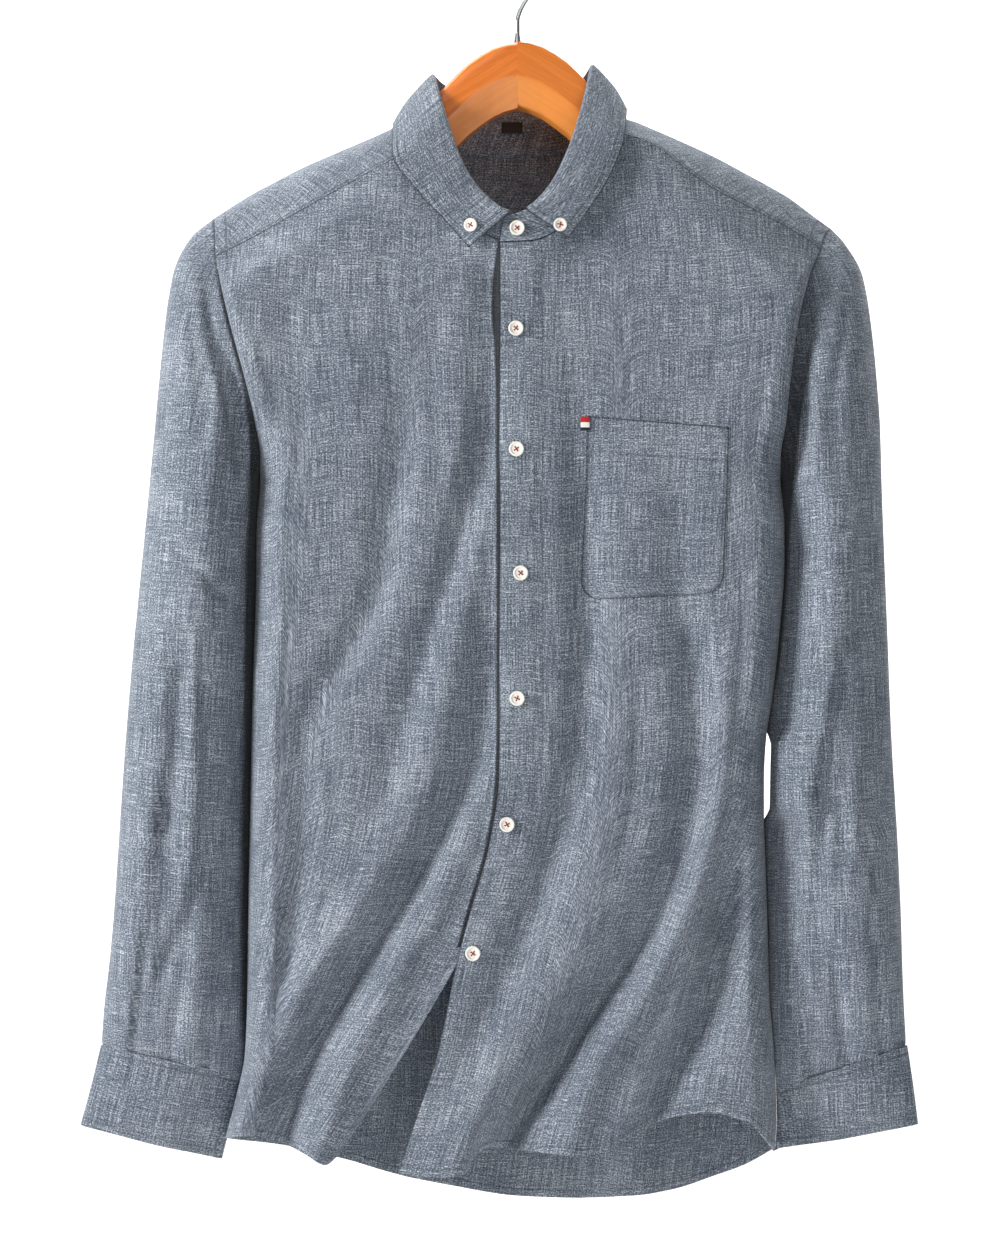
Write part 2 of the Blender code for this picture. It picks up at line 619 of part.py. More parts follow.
def below_neck(start, end):
    """A line from the collar's seam to the back seam: its first half stays close to the collar."""
    behind = np.clip(start[1] / NAPE_Y, 0, 1)
    near = start + (end - start) * (0.02, 0.15, 0.01 + 0.2 * behind)
    first = [start + (near - start) * t for t in np.linspace(0, 1, len(YOKE_FRONT))]
    level = end[1] > near[1]
    rest = [near + (end - near) * (b, a if level else b, b) for a, b in YOKE_BEHIND]
    return np.array(first + rest)


def distances(points):
    """How far along the line each point is."""
    return np.concatenate([[0], np.cumsum(np.linalg.norm(np.diff(points, axis=0), axis=1))])


def way_along(points):
    """Each point's share of the way along the line."""
    way = distances(points)
    return way / way[-1]


def neck_curve(kind, first, last, count):
    """count points along the neck's seam or fold, from one row of its table to another."""
    start = 1 if kind == "seam" else 4
    rows = np.array([row[start : start + 3] for row in NECK], float)
    # Both curves are read at distances along the seam, so their points pair up.
    way = distances(np.array([row[1:4] for row in NECK], float))
    return smooth(np.column_stack([way, rows]), np.linspace(way[first], way[last], count))


def unit(vectors):
    return vectors / np.maximum(np.linalg.norm(vectors, axis=-1, keepdims=True), 1e-9)


def normals(grid, closed=False):
    """Unit normals of a grid of real points, rows down and columns round."""
    down = np.gradient(grid, axis=0)
    if closed:
        across = np.roll(grid, -1, axis=1) - np.roll(grid, 1, axis=1)
    else:
        across = np.gradient(grid, axis=1)
    return unit(np.cross(across, down))


def share_normals(*edges):
    """Make the normals along edges that meet the same, so their walls stand side by side."""
    total = unit(sum(edges))
    for edge in edges:
        edge[...] = total


def drawn_in(points, closed=False):
    """The grid with each of its free edges moved half a gap in along the cloth."""
    out = points.copy()
    half = GAP / 2

    def towards(edge, inner):
        return edge + half * unit(inner - edge)

    out[0], out[-1] = towards(points[0], points[1]), towards(points[-1], points[-2])
    if not closed:
        out[:, 0] = towards(out[:, 0], out[:, 1])
        out[:, -1] = towards(out[:, -1], out[:, -2])
    return out


def wall(outer, normal, thick=WALL, closed=False, inset=True):
    """A closed cloth wall: vertices and faces of the outer face, the inner face and the rim."""
    inner = outer - normal * thick
    if inset:
        outer, inner = drawn_in(outer, closed), drawn_in(inner, closed)
    rows, columns = outer.shape[:2]
    points = np.vstack([outer.reshape(-1, 3), inner.reshape(-1, 3)])
    shift = rows * columns
    faces = []

    def at(row, column):
        return row * columns + column % columns

    spans = columns if closed else columns - 1
    for row in range(rows - 1):
        for column in range(spans):
            a, b = at(row, column), at(row, column + 1)
            c, d = at(row + 1, column + 1), at(row + 1, column)
            faces += [(a, d, c, b), (a + shift, b + shift, c + shift, d + shift)]
    for column in range(spans):
        a, b = at(0, column), at(0, column + 1)
        faces.append((a, b, b + shift, a + shift))
        a, b = at(rows - 1, column), at(rows - 1, column + 1)
        faces.append((b, a, a + shift, b + shift))
    if not closed:
        for row in range(rows - 1):
            a, b = at(row, 0), at(row + 1, 0)
            faces.append((b, a, a + shift, b + shift))
            a, b = at(row, columns - 1), at(row + 1, columns - 1)
            faces.append((a, b, b + shift, a + shift))
    return points, faces


def material(name, metallic=0.0, roughness=0.8):
    made = bpy.data.materials.get(name) or bpy.data.materials.new(name)
    made.use_nodes = True
    shader = made.node_tree.nodes["Principled BSDF"]
    shader.inputs["Base Color"].default_value = COLOURS[name]
    shader.inputs["Metallic"].default_value = metallic
    shader.inputs["Roughness"].default_value = roughness
    return made


def add(name, points, faces, slot, **finish):
    """A named object with its faces pointing out, from points in millimetres."""
    mesh = bpy.data.meshes.new(name)
    mesh.from_pydata([tuple(p * MM) for p in np.asarray(points)], [], faces)
    work = bmesh.new()
    work.from_mesh(mesh)
    bmesh.ops.triangulate(work, faces=work.faces, quad_method="SHORT_EDGE")
    bmesh.ops.recalc_face_normals(work, faces=work.faces)
    work.to_mesh(mesh)
    work.free()
    mesh.materials.append(material(slot, **finish))
    item = bpy.data.objects.new(name, mesh)
    bpy.context.scene.collection.objects.link(item)
    return item


def sleeve_grid(side, ring0):
    """The sleeve's rings from the armhole to the cuff's seam, real points."""
    table = np.array(SLEEVE_RIGHT if side < 0 else SLEEVE_LEFT, float)
    way = distances(table[:, :4])
    rows = smooth(np.column_stack([way, table]), way[-1] * np.linspace(0, 1, SLEEVE_ROWS) ** 1.15)
    turns = ring_shares(ring0)
    rings = [ring0]
    for row in rows:
        rings.append(place(sleeve_ring(row, turns, SLEEVE_FOLDS["right" if side < 0 else "left"])))
    return np.array(rings)


def ring_shares(ring):
    """How far round each point of the armhole's ring is, from the shoulder over the front."""
    closed = np.vstack([ring, ring[:1]])
    return way_along(closed)[:-1]


def sleeve_ring(row, turns, folds=()):
    """One ring as seen: row is a line of the sleeve's or cuff's table."""
    outer_x, outer_drop, inner_x, inner_drop, half, middle = row
    angle = turns * 2 * math.pi
    c, s = np.cos(angle), np.sin(angle)
    round_out = np.sign(c) * np.abs(c) ** 0.9
    depth = np.sign(s) * np.abs(s) ** 0.9
    x = (outer_x + inner_x) / 2 + (outer_x - inner_x) / 2 * round_out
    drop = (outer_drop + inner_drop) / 2 + (outer_drop - inner_drop) / 2 * round_out
    push = np.zeros(len(turns))
    for at, width, deep, start, peak, end in folds:
        level = (outer_drop + inner_drop) / 2
        grow = ease((level - start) / (peak - start)) * ease((end - level) / (end - peak))
        off = (turns - at + 0.5) % 1 - 0.5
        push += deep * grow * np.exp(-((off / width) ** 2)) * min(1, half / 36)
    y = middle - depth * half
    shrink = 1 - push / max(half, 1)
    return np.column_stack([
        (outer_x + inner_x) / 2 + (x - (outer_x + inner_x) / 2) * (1 - push / 90),
        middle + (y - middle) * shrink,
        drop,
    ])


def add_button(name, centre, facing, size):
    """A sewn button: a dished disc with a rounded rim, its flat back on the cloth."""
    radius, thick, sides = size["radius"], size["thick"], size["sides"]
    profile = ((radius - 0.6, 0), (radius, thick * 0.45), (radius - 0.5, thick), (radius - 1.8, thick - 0.5))
    out = unit(np.array(facing, float))
    across = np.cross(out, (0, 0, 1.0))
    across /= np.linalg.norm(across)
    up = np.cross(across, out)
    points, faces = [], []
    for r, h in profile:
        for i in range(sides):
            a = 2 * math.pi * i / sides
            points.append(np.array(centre) + out * h + across * r * math.cos(a) + up * r * math.sin(a))
    for ring in range(len(profile) - 1):
        for i in range(sides):
            j = (i + 1) % sides
            a, b = ring * sides + i, ring * sides + j
            faces.append((a, b, b + sides, a + sides))
    faces.append(tuple(range(sides)))
    faces.append(tuple(range((len(profile) - 1) * sides, len(profile) * sides)))
    return add(name, points, faces, "button", roughness=0.35)


def block(name, corners, slot):
    """A six-sided solid from its four front corners and its four back ones."""
    faces = [(0, 1, 2, 3), (7, 6, 5, 4), (0, 4, 5, 1), (1, 5, 6, 2), (2, 6, 7, 3), (3, 7, 4, 0)]
    return add(name, corners, faces, slot)


def on_grid(grid, normal, x, drop, out):
    """The point of a panel seen at x and drop, moved out, and the panel's normal there."""
    target = None
    best = None
    for row in range(grid.shape[0] - 1):
        for column in range(grid.shape[1] - 1):
            corner = grid[row : row + 2, column : column + 2].reshape(4, 3)
            y = corner[:, 1].mean()
            seen = place(np.array([x, y, drop]))
            low, high = corner.min(axis=0), corner.max(axis=0)
            if low[0] - 1 <= seen[0] <= high[0] + 1 and low[2] - 1 <= seen[2] <= high[2] + 1:
                if best is None or corner[:, 1].min() < best:
                    best = corner[:, 1].min()
                    target = (row, column, seen, corner)
    row, column, seen, corner = target
    facing = normal[row : row + 2, column : column + 2].reshape(4, 3).mean(axis=0)
    facing /= np.linalg.norm(facing)
    centre = corner.mean(axis=0)
    y = centre[1] - (facing[0] * (seen[0] - centre[0]) + facing[2] * (seen[2] - centre[2])) / facing[1]
    return np.array([seen[0], y, seen[2]]) + facing * out, facing


def build_body():
    """The fronts, back, yoke and sleeves, with what is sewn on them."""
    right_seen, left_seen, back_seen = front_grid(-1), front_grid(1), back_grid()
    yoke_seen = yoke_grid(right_seen, left_seen, back_seen)
    right, left, back, yoke = (place(grid) for grid in (right_seen, left_seen, back_seen, yoke_seen))

    right_out, left_out, back_out, yoke_out = (normals(grid) for grid in (right, left, back, yoke))
    for grid_normal, sign in ((right_out, -1), (left_out, -1), (back_out, 1)):
        if np.sign(np.median(grid_normal[..., 1])) != sign:
            grid_normal *= -1
    if np.median(yoke_out[2, :8, 2]) < 0:
        yoke_out *= -1

    arm_front, arm_back = arm_rows("front"), arm_rows("back")
    every = (len(right) - 1 - arm_front) // (len(back) - 1 - arm_back)
    # Side seams.
    share_normals(right_out[arm_front::every, -1], back_out[arm_back:, 0])
    share_normals(left_out[arm_front::every, -1], back_out[arm_back:, -1])
    # Yoke seams in front.
    right_neck, left_neck = (sum(FRONT_COLUMNS[side][:3]) for side in (-1, 1))
    share_normals(right_out[0, right_neck:][::-1], yoke_out[0, : right.shape[1] - right_neck])
    share_normals(left_out[0, left_neck:], yoke_out[0, left_neck - left.shape[1] :])
    share_normals(back_out[0], yoke_out[-1])

    sleeves = {}
    for side, front, front_out in ((-1, right, right_out), (1, left, left_out)):
        end = 0 if side < 0 else -1
        ring = armhole_ring(yoke[:, end], front[:, -1], back[:, end])
        grid = sleeve_grid(side, ring)
        out = outward(grid, normals(grid, closed=True), grid.mean(axis=1, keepdims=True))
        body = armhole_ring(yoke_out[:, end], front_out[:, -1], back_out[:, end])
        out[0] = unit(out[0] + body)
        sew_armhole(out[0], yoke_out[:, end], front_out[:, -1], back_out[:, end])
        sleeves[side] = (grid, out)
    panels = {
        "right_front": (right, right_out), "left_front": (left, left_out), "back": (back, back_out),
        "yoke": (yoke, yoke_out), "right_sleeve": sleeves[-1], "left_sleeve": sleeves[1],
    }
    return panels


def armhole_ring(yoke, front, back):
    """Rows round an armhole: from the shoulder's top down the front, and up the back."""
    crest = len(YOKE_FRONT) - 1
    arm_front, arm_back = arm_rows("front"), arm_rows("back")
    return np.vstack([
        yoke[: crest + 1][::-1], front[1 : arm_front + 1], back[:arm_back][::-1], yoke[crest + 1 : -1][::-1],
    ])


def sew_armhole(ring, yoke, front, back):
    """Write a ring's rows back to the panels' edges that it came from."""
    crest = len(YOKE_FRONT) - 1
    arm_front, arm_back = arm_rows("front"), arm_rows("back")
    under = crest + arm_front
    yoke[: crest + 1] = ring[: crest + 1][::-1]
    front[: arm_front + 1] = ring[crest : under + 1]
    back[: arm_back + 1] = ring[under : under + arm_back + 1][::-1]
    yoke[crest + 1 :] = ring[under + arm_back :][::-1]


def slab(front, facing, thick):
    """A thin flat piece's eight corners: four on its front, and the same four moved back."""
    front, facing = np.array(front), np.array(facing)
    return np.vstack([front, front - facing * thick])


def add_tab(panel, panel_out):
    """The tape in the pocket's side seam: it lies on the front just outside the pocket."""
    x, drop, width, height = (TAB[key] for key in ("x", "drop", "width", "height"))
    corners = ((x, drop), (x + width, drop), (x + width, drop + height), (x, drop + height))
    spots = [on_grid(panel, panel_out, *corner, LAYER) for corner in corners]
    facing = unit(np.mean([out for _, out in spots], axis=0))
    block("pocket_tab", slab([point for point, _ in spots], facing, TAB["thick"]), "tape")


def add_label():
    """The plain tab on the stand's inside at the nape."""
    x, drop, width, height = (LABEL[key] for key in ("x", "drop", "width", "height"))
    corners = ((x, drop), (x + width, drop), (x + width, drop + height), (x, drop + height))
    seen = np.array([(a, LABEL["y"], b) for a, b in corners], float)
    block("neck_label", slab(place(seen), (0, -1.0, 0), LABEL["thick"]), "label")


def collar_grids():
    """The collar stand's and the leaf's outer faces, as seen."""
    last = len(NECK) - 1
    seam = neck_curve("seam", 0, last, STAND_COLUMNS)
    fold = neck_curve("fold", 0, last, STAND_COLUMNS)
    shares = np.array([0.035, 0.5, 1.0])[:, None, None]
    stand = seam * (1 - shares) + fold * shares
    names = [row[0] for row in NECK]
    first, end = names.index(LEAF[0][0]), names.index(LEAF[-1][0])
    top = neck_curve("fold", first, end, LEAF_COLUMNS)
    way = distances(np.array([row[1:4] for row in NECK], float))[first : end + 1]
    edge_rows = np.column_stack([way, np.array([row[1:] for row in LEAF], float)])
    read = smooth(edge_rows, np.linspace(way[0], way[-1], LEAF_COLUMNS))
    edge, off = read[:, :3], read[:, 3]
    out = np.column_stack([top[:, 0] * 0.8, top[:, 1] * 1.1, np.zeros(len(top))])
    out /= np.linalg.norm(out, axis=1, keepdims=True)
    up = np.array([0, 0, -1.0])
    rows = []
    for column in range(LEAF_COLUMNS):
        a, b, away = top[column], edge[column], out[column]
        line = (
            a + away * off[column] + up * 0.4,
            a + (b - a) * 0.12 + away * (off[column] + 1.5) + up * 0.8,
            a + (b - a) * 0.55 + away * (off[column] + 1.1),
            b,
        )
        rows.append(along(line, np.linspace(0, 1, LEAF_ROWS + 1)))
    return stand, np.array(rows).transpose(1, 0, 2)


def outward(grid, normal, centre):
    """Turn a grid's normals to point away from the centre."""
    if np.median(((grid - centre) * normal).sum(axis=-1)) < 0:
        normal *= -1
    return normal


def hanger_half(name, side, crest):
    """One wooden half of the hanger, from the glued middle joint out along the arm."""
    crest_table = sorted((abs(x), drop) for x, y, drop in crest)
    shoulder = [(x, drop + WALL + HANGER_CLEAR) for x, drop in crest_table if x > HANGER_TOP[-1][0] + 8]
    top_table = [*HANGER_TOP, *shoulder]
    half = HANGER_THICK / 2
    rings = []
    for x in HANGER_STATIONS:
        top, height = smooth(top_table, x), smooth(HANGER_HEIGHT, x)
        end = max(0.0, (x - HANGER_STATIONS[-4]) / (HANGER_ARM - HANGER_STATIONS[-4]))
        shrink = math.sqrt(max(0.0, 1 - (0.92 * end) ** 2))
        middle = top + height / 2
        ring = []
        for share, down, from_bottom in HANGER_SECTION:
            drop = top + down + (height if from_bottom else 0)
            centre = place(np.array([side * x, 0.0, middle + (drop - middle) * shrink + (1 - shrink) * 2]))
            ring.append(centre + (0, share * half * shrink, 0))
        rings.append(ring)
    points = np.array(rings)
    count = len(HANGER_SECTION)
    faces = []
    for ring in range(len(rings) - 1):
        for i in range(count):
            a, b = ring * count + i, ring * count + (i + 1) % count
            faces.append((a, b, b + count, a + count))
    faces.append(tuple(range(count)))
    faces.append(tuple(range((len(rings) - 1) * count, len(rings) * count)))
    return add(name, points.reshape(-1, 3), faces, "wood", roughness=0.3)


def hook(base_z):
    """The steel hook: one wire from the hanger's top, round over the rod."""
    centre_z = -(HOOK_RADIUS - HOOK_WIRE)
    path = [(0, base_z + GAP)] + [(x, base_z + rise) for x, rise in HOOK_SHANK]
    for degrees in range(-30, 201, 15):
        a = math.radians(degrees)
        path.append((HOOK_RADIUS * math.cos(a), centre_z + HOOK_RADIUS * math.sin(a)))
    path = np.array([(x, 0, z) for x, z in path], float)
    count = 44
    line = along(path, np.linspace(0, 1, count))
    tangent = unit(np.gradient(line, axis=0))
    tangent[0] = (0, 0, 1)
    points, faces = [], []
    sides = 8
    for index in range(count):
        across = unit(np.cross(tangent[index], (0, 1.0, 0)))
        height = line[index, 2] - line[0, 2]
        radius = HOOK_WIRE + (0.9 * max(0.0, 1 - height / 9) if index < count // 2 else 0)
        for i in range(sides):
            a = 2 * math.pi * i / sides
            points.append(line[index] + radius * (across * math.cos(a) + np.array((0, 1.0, 0)) * math.sin(a)))
    for ring in range(count - 1):
        for i in range(sides):
            a, b = ring * sides + i, ring * sides + (i + 1) % sides
            faces.append((a, b, b + sides, a + sides))
    faces.append(tuple(range(sides)))
    faces.append(tuple(range((count - 1) * sides, count * sides)))
    return add("hook", points, faces, "steel", metallic=1.0, roughness=0.25)


def main():
    for item in list(bpy.data.objects):
        bpy.data.objects.remove(item, do_unlink=True)
    panels = build_body()
    for name, (points, out) in panels.items():
        add(name, *wall(points, out, closed=name.endswith("sleeve")), "linen")
    left, left_out = panels["left_front"]
    for name, cuff_table in (("right", CUFF_RIGHT), ("left", CUFF_LEFT)):
        turns = np.linspace(0, 1, CUFF_COLUMNS, endpoint=False)
        cuff = np.array([place(sleeve_ring(row, turns)) for row in cuff_table])
        cuff_out = outward(cuff, normals(cuff, closed=True), cuff.mean(axis=1, keepdims=True))
        add(f"{name}_cuff", *wall(cuff, cuff_out, thick=CUFF_WALL, closed=True), "linen")
        spot, out = cuff[1, CUFF_BUTTON_TURN], cuff_out[1, CUFF_BUTTON_TURN]
        add_button(f"button_cuff_{name}", spot + out * BUTTON_LIFT, out, SMALL_BUTTON)

    # The placket and the pocket are made of the left front's own points, moved out.
    strip = slice(0, FRONT_COLUMNS[1][0] + 1)
    placket = left[:, strip] + left_out[:, strip] * LAYER
    placket[0] += (placket[1] - placket[0]) * PLACKET_TOP_SHARE
    add("placket", *wall(placket, left_out[:, strip]), "linen")
    first = sum(FRONT_COLUMNS[1][:2])
    columns = slice(first, sum(FRONT_COLUMNS[1][:4]) + 1)
    rows = slice(ROWS["front"][0], sum(ROWS["front"][:3]) + 1)
    pocket, pocket_out = left[rows, columns].copy(), left_out[rows, columns]
    for edge, inner in ((0, 1), (-1, -2)):  # the rounded bottom corners
        corner = pocket[-1, edge].copy()
        across, up = pocket[-1, inner] - corner, pocket[-2, edge] - corner
        pocket[-1, edge] = corner + across * 0.33 + up * 0.21
    add("pocket", *wall(pocket + pocket_out * LAYER, pocket_out), "linen")
    add_tab(left, left_out)

    stand_seen, leaf_seen = collar_grids()
    stand, leaf = place(stand_seen), place(leaf_seen)
    centre = np.array([0.0, 0.0, stand[..., 2].mean()])
    stand_out = outward(stand, normals(stand), centre)
    leaf_out = outward(leaf, normals(leaf), centre)
    add("collar_stand", *wall(stand, stand_out), "linen")
    add("collar_leaf", *wall(leaf, leaf_out), "linen")
    add_label()

    placket_out = left_out[:, strip]
    for number, (x, drop) in enumerate(BUTTONS, 1):
        point, out = on_grid(placket, placket_out, x, drop, BUTTON_LIFT)
        add_button(f"button_{number}", point, out, BUTTON)
    point, out = on_grid(stand, stand_out, *STAND_BUTTON, BUTTON_LIFT)
    add_button("button_stand", point, out, BUTTON)
    for name, spot in POINT_BUTTONS.items():
        point, out = on_grid(leaf, leaf_out, *spot, BUTTON_LIFT)
        add_button(f"button_point_{name}", point, out, SMALL_BUTTON)

    hanger_half("hanger_right", -1, CREST_RIGHT)
    hanger_half("hanger_left", 1, CREST_LEFT)
    hook(place(np.array([0.0, 0.0, HANGER_TOP[0][1]]))[2])


main()
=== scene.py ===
# %% [markdown]
# # A linen shirt on its hanger
#
# A button-down shirt of slub linen hangs, buttoned, on a contoured wooden hanger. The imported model
# is the frame: its pieces have the right sizes and places, and this lesson dresses them. The cloth is
# made again from the same tables with many more rows, so it can carry fine creases and a weave.

# %% Load the frame
import math

import bmesh
import bpy
import numpy as np
from mathutils import Matrix, Vector
from mathutils.bvhtree import BVHTree


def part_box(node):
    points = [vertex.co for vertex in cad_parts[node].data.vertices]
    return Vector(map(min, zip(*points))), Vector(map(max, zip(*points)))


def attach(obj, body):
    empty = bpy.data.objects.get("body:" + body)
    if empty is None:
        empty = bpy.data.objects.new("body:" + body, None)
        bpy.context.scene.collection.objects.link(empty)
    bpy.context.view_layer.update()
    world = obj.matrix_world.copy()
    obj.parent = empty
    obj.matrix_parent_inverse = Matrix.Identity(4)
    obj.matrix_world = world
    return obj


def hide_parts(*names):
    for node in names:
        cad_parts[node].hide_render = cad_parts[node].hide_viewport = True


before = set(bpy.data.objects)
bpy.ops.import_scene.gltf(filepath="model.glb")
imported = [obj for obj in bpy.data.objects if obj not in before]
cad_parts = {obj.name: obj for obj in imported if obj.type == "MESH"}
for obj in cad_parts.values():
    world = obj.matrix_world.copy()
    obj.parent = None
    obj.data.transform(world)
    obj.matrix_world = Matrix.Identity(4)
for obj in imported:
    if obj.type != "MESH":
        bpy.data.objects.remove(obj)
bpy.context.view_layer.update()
bpy.ops.object.select_all(action="DESELECT")
print("nodes in the frame:", len(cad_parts))

# %% [markdown]
# ## The camera
#
# The photograph is taken straight on from 1.65 m, at about the middle of the shirt. One pixel of it
# is 0.73 mm at the placket, which gives the lens. The tables below state x and drop as they look from
# there, so the camera comes first.

# %% Set up the camera
MM = 0.001
EYE = 1650.0  # from the eye to the plane of the placket
EYE_DROP = 493.5
EYE_X = -13.1
FRONT_PLANE = -45.0  # y of the placket's plane, where the tables are true to size
HOOK_RISE = 12.0  # the rod's contact lies this far above drop 0
PIXEL = 0.73  # millimetres to a pixel of the 1000 x 1250 photograph, at the placket

eye = (EYE_X * MM, (FRONT_PLANE - EYE) * MM, -(EYE_DROP + HOOK_RISE) * MM)
bpy.ops.object.camera_add(location=eye, rotation=(math.pi / 2, 0, 0))
camera = bpy.context.object
camera.data.sensor_fit = "HORIZONTAL"
camera.data.sensor_width = 36
camera.data.lens = 36 * EYE / (1000 * PIXEL)
bpy.context.scene.camera = camera
print("lens:", round(camera.data.lens, 1), "mm")

# %% [markdown]
# ## The tables
#
# A shirt has no straight edge once it hangs, so each line of it is a short table: the sides, the
# armholes, the seams, the hems, and the main folds with their depth. Tables are in millimetres: x
# runs to the wearer's left, y to the back, and drop runs down from just under the hook.

# %% Rows, columns and walls
RIGHT, LEFT = -1, 1  # the wearer's sides, as the sign of x
WALL = 1.2  # every cloth wall
GAP = 0.3  # between pieces at a seam
OVERLAP_STEP = 2.6  # the left front lies this far in front of the right one
PLACKET_WIDTH = 30.5
ROLL = 20.0  # how far in from its side a panel starts to turn, below the underarm
ROLL_TOP = 6.0  # and at its top
FOLD_FADE = 42.0  # the folds fade out this far from the side
LAP_END, LAP_FADE = 72.0, 45.0  # the lap ends this far from the left front's edge, and fades over this
FRONT_TOP = 214.0  # the drop where the fronts' edges start
FIRST_HEM = 880.0  # a front's hem, before the drops of its columns are known
TOP_EASE = 30.0  # a panel leaves its top seam's depth over this drop
POCKET_TOP, UNDERARM, POCKET_BOTTOM = 345.0, 388.0, 472.0
# Rows down to each level of a panel, and columns between its guides.
ROWS = {"front": (36, 12, 24, 84), "back": (40, 16, 16, 56)}
FRONT_COLUMNS = {RIGHT: (30, 18, 30, 24, 6, 24), LEFT: (18, 12, 12, 36, 12, 24)}
BACK_COLUMNS = {"roll": 24, "flat": 138}
NECK_COLUMNS, YOKE_ROWS, SLEEVE_ROWS = 30, 8, 17
STAND_COLUMNS, LEAF_COLUMNS, LEAF_ROWS = 289, 257, 26
FINER = {"yoke": 5, "sleeve": 8}  # rows made between two lines of these coarser tables

# %% Sides, armholes and seams
# The side of the body, as seen: x at each drop, for the wearer's right and left.
SIDE_SEAM = {
    # drop, x
    RIGHT: (
        (388, -188), (424, -190.5), (468, -191), (548, -193.5), (621, -195), (694, -196.5), (767, -197.5),
        (806, -199), (836, -205), (868, -213.5),
    ),
    LEFT: (
        (388, 192), (420, 195), (446, 195), (504, 191), (548, 186), (577, 181.5), (607, 180), (636, 180),
        (665, 181), (694, 182), (767, 184.5), (804, 187.5), (855, 189), (876, 188),
    ),
}
SIDE_HEM = {RIGHT: 868.0, LEFT: 876.0}

# The armholes: x, and how far the front and back halves stand out in y, at each drop.
ARMHOLE = {
    # drop, x, front y, back y
    RIGHT: (
        (224, -221, -22, 28), (249, -216, -30, 35), (278, -209, -35, 39), (315, -199, -36, 39),
        (345, -192, -30, 33), (372, -188, -15, 18), (388, -188, 0, 0),
    ),
    LEFT: (
        (219, 221, -22, 28), (242, 212, -30, 35), (278, 204, -35, 39), (315, 199, -36, 39),
        (345, 196, -30, 33), (372, 192, -15, 18), (388, 192, 0, 0),
    ),
}

# The seam between a front and the yoke, from the armhole to the neck.
YOKE_SEAM = {
    # x, y, drop
    RIGHT: (
        (-221, -22, 224), (-204, -25, 216), (-163.5, -29, 193.5), (-120, -31, 169), (-84, -30, 149),
        (-72, -27, 142),
    ),
    LEFT: (
        (221, -22, 219), (215, -23, 214), (187.6, -27, 198), (138.7, -31, 172), (92, -30, 139),
        (73, -27, 134),
    ),
}
# The top of the shoulders, from the armhole to the neck.
CREST = {
    # x, y, drop
    RIGHT: (
        (-222, 1, 197), (-206.6, 1, 187), (-192, 1, 178), (-177.4, 1, 170.5), (-162.8, 1, 162.5),
        (-133.6, 1, 149.5), (-104.4, 1, 137), (-88, 1, 129.5),
    ),
    LEFT: (
        (229, 1, 204.5), (213.2, 1, 193), (198.6, 1, 182), (184, 1, 173.5), (169.4, 1, 165.5),
        (140.2, 1, 150), (111, 1, 136.8), (87, 1, 126.5),
    ),
}

# %% The neck and the collar
# The neck, from the right front's end under the placket, round the back, to the left front's.
# "seam" is where the collar stand is sewn on, "fold" the stand's top, where the leaf turns over.
NECK = (
    # name, seam x, y, drop, fold x, y, drop
    ("under_end", 11, -52.0, 214, 10, -50.5, 193),
    ("right_front", -10, -52.0, 213, -6, -50.5, 192),
    ("right_point", -37, -48, 199, -22, -48, 182),
    ("right_chest", -60, -39, 172, -38, -42, 161),
    ("right_seam", -72, -27, 142, -51, -29, 128),
    ("right_side", -77, 1, 124, -61, 1, 93),
    ("right_back", -66, 32, 136, -55, 30, 99),
    ("right_nape", -38, 50, 149, -32, 47, 110),
    ("nape", 0, 56, 153, 0, 53, 114),
    ("left_nape", 38, 50, 148, 30, 47, 108),
    ("left_back", 66, 32, 133, 50, 30, 93),
    ("left_side", 75, 1, 121.5, 54, 1, 86),
    ("left_seam", 73, -27, 134, 46, -29, 119),
    ("left_chest", 61, -40, 166, 36, -43, 148),
    ("left_point", 41, -51, 196, 21, -51, 176),
    ("left_front", 10, -54.6, 213, 6, -53.1, 190),
    ("over_end", -13.5, -54.6, 214, -10, -53.1, 195),
)
# The leaf's outer edge against the fold's rows, and how far out the leaf stands half way down.
LEAF = (
    # fold row, edge x, y, drop, how far out of the stand it turns over
    ("right_front", -36, -52.5, 218, 5.6),
    ("right_point", -50, -52, 202, 2.6),
    ("right_chest", -74, -48, 176, 2.4),
    ("right_seam", -92, -36, 149, 2.8),
    ("right_side", -91, 1, 127, 3.0),
    ("right_back", -79, 40, 141, 3.0),
    ("right_nape", -44, 61, 158, 2.6),
    ("nape", 0, 67, 162, 2.6),
    ("left_nape", 43, 61, 156, 2.6),
    ("left_back", 77, 40, 138, 3.0),
    ("left_side", 80, 1, 116.5, 3.0),
    ("left_seam", 78, -37, 137, 2.8),
    ("left_chest", 66, -48, 168, 2.4),
    ("left_point", 52, -53, 190, 2.4),
    ("left_front", 37, -55.5, 211, 2.2),
)

# %% Edges and hems
# Front edges, as seen: the left front's edge, with the placket, and the right one's under it.
EDGE = {
    # drop, x
    LEFT: (
        (214, -13), (400, -13), (560, -13), (607, -14), (658, -22), (700, -34), (742, -45), (804, -58),
        (850, -73), (894, -88),
    ),
    RIGHT: (
        (214, 11), (560, 8), (620, 1), (670, -12), (705, -26), (742, -45), (775, -64), (811, -86),
        (848, -109), (880, -131),
    ),
}
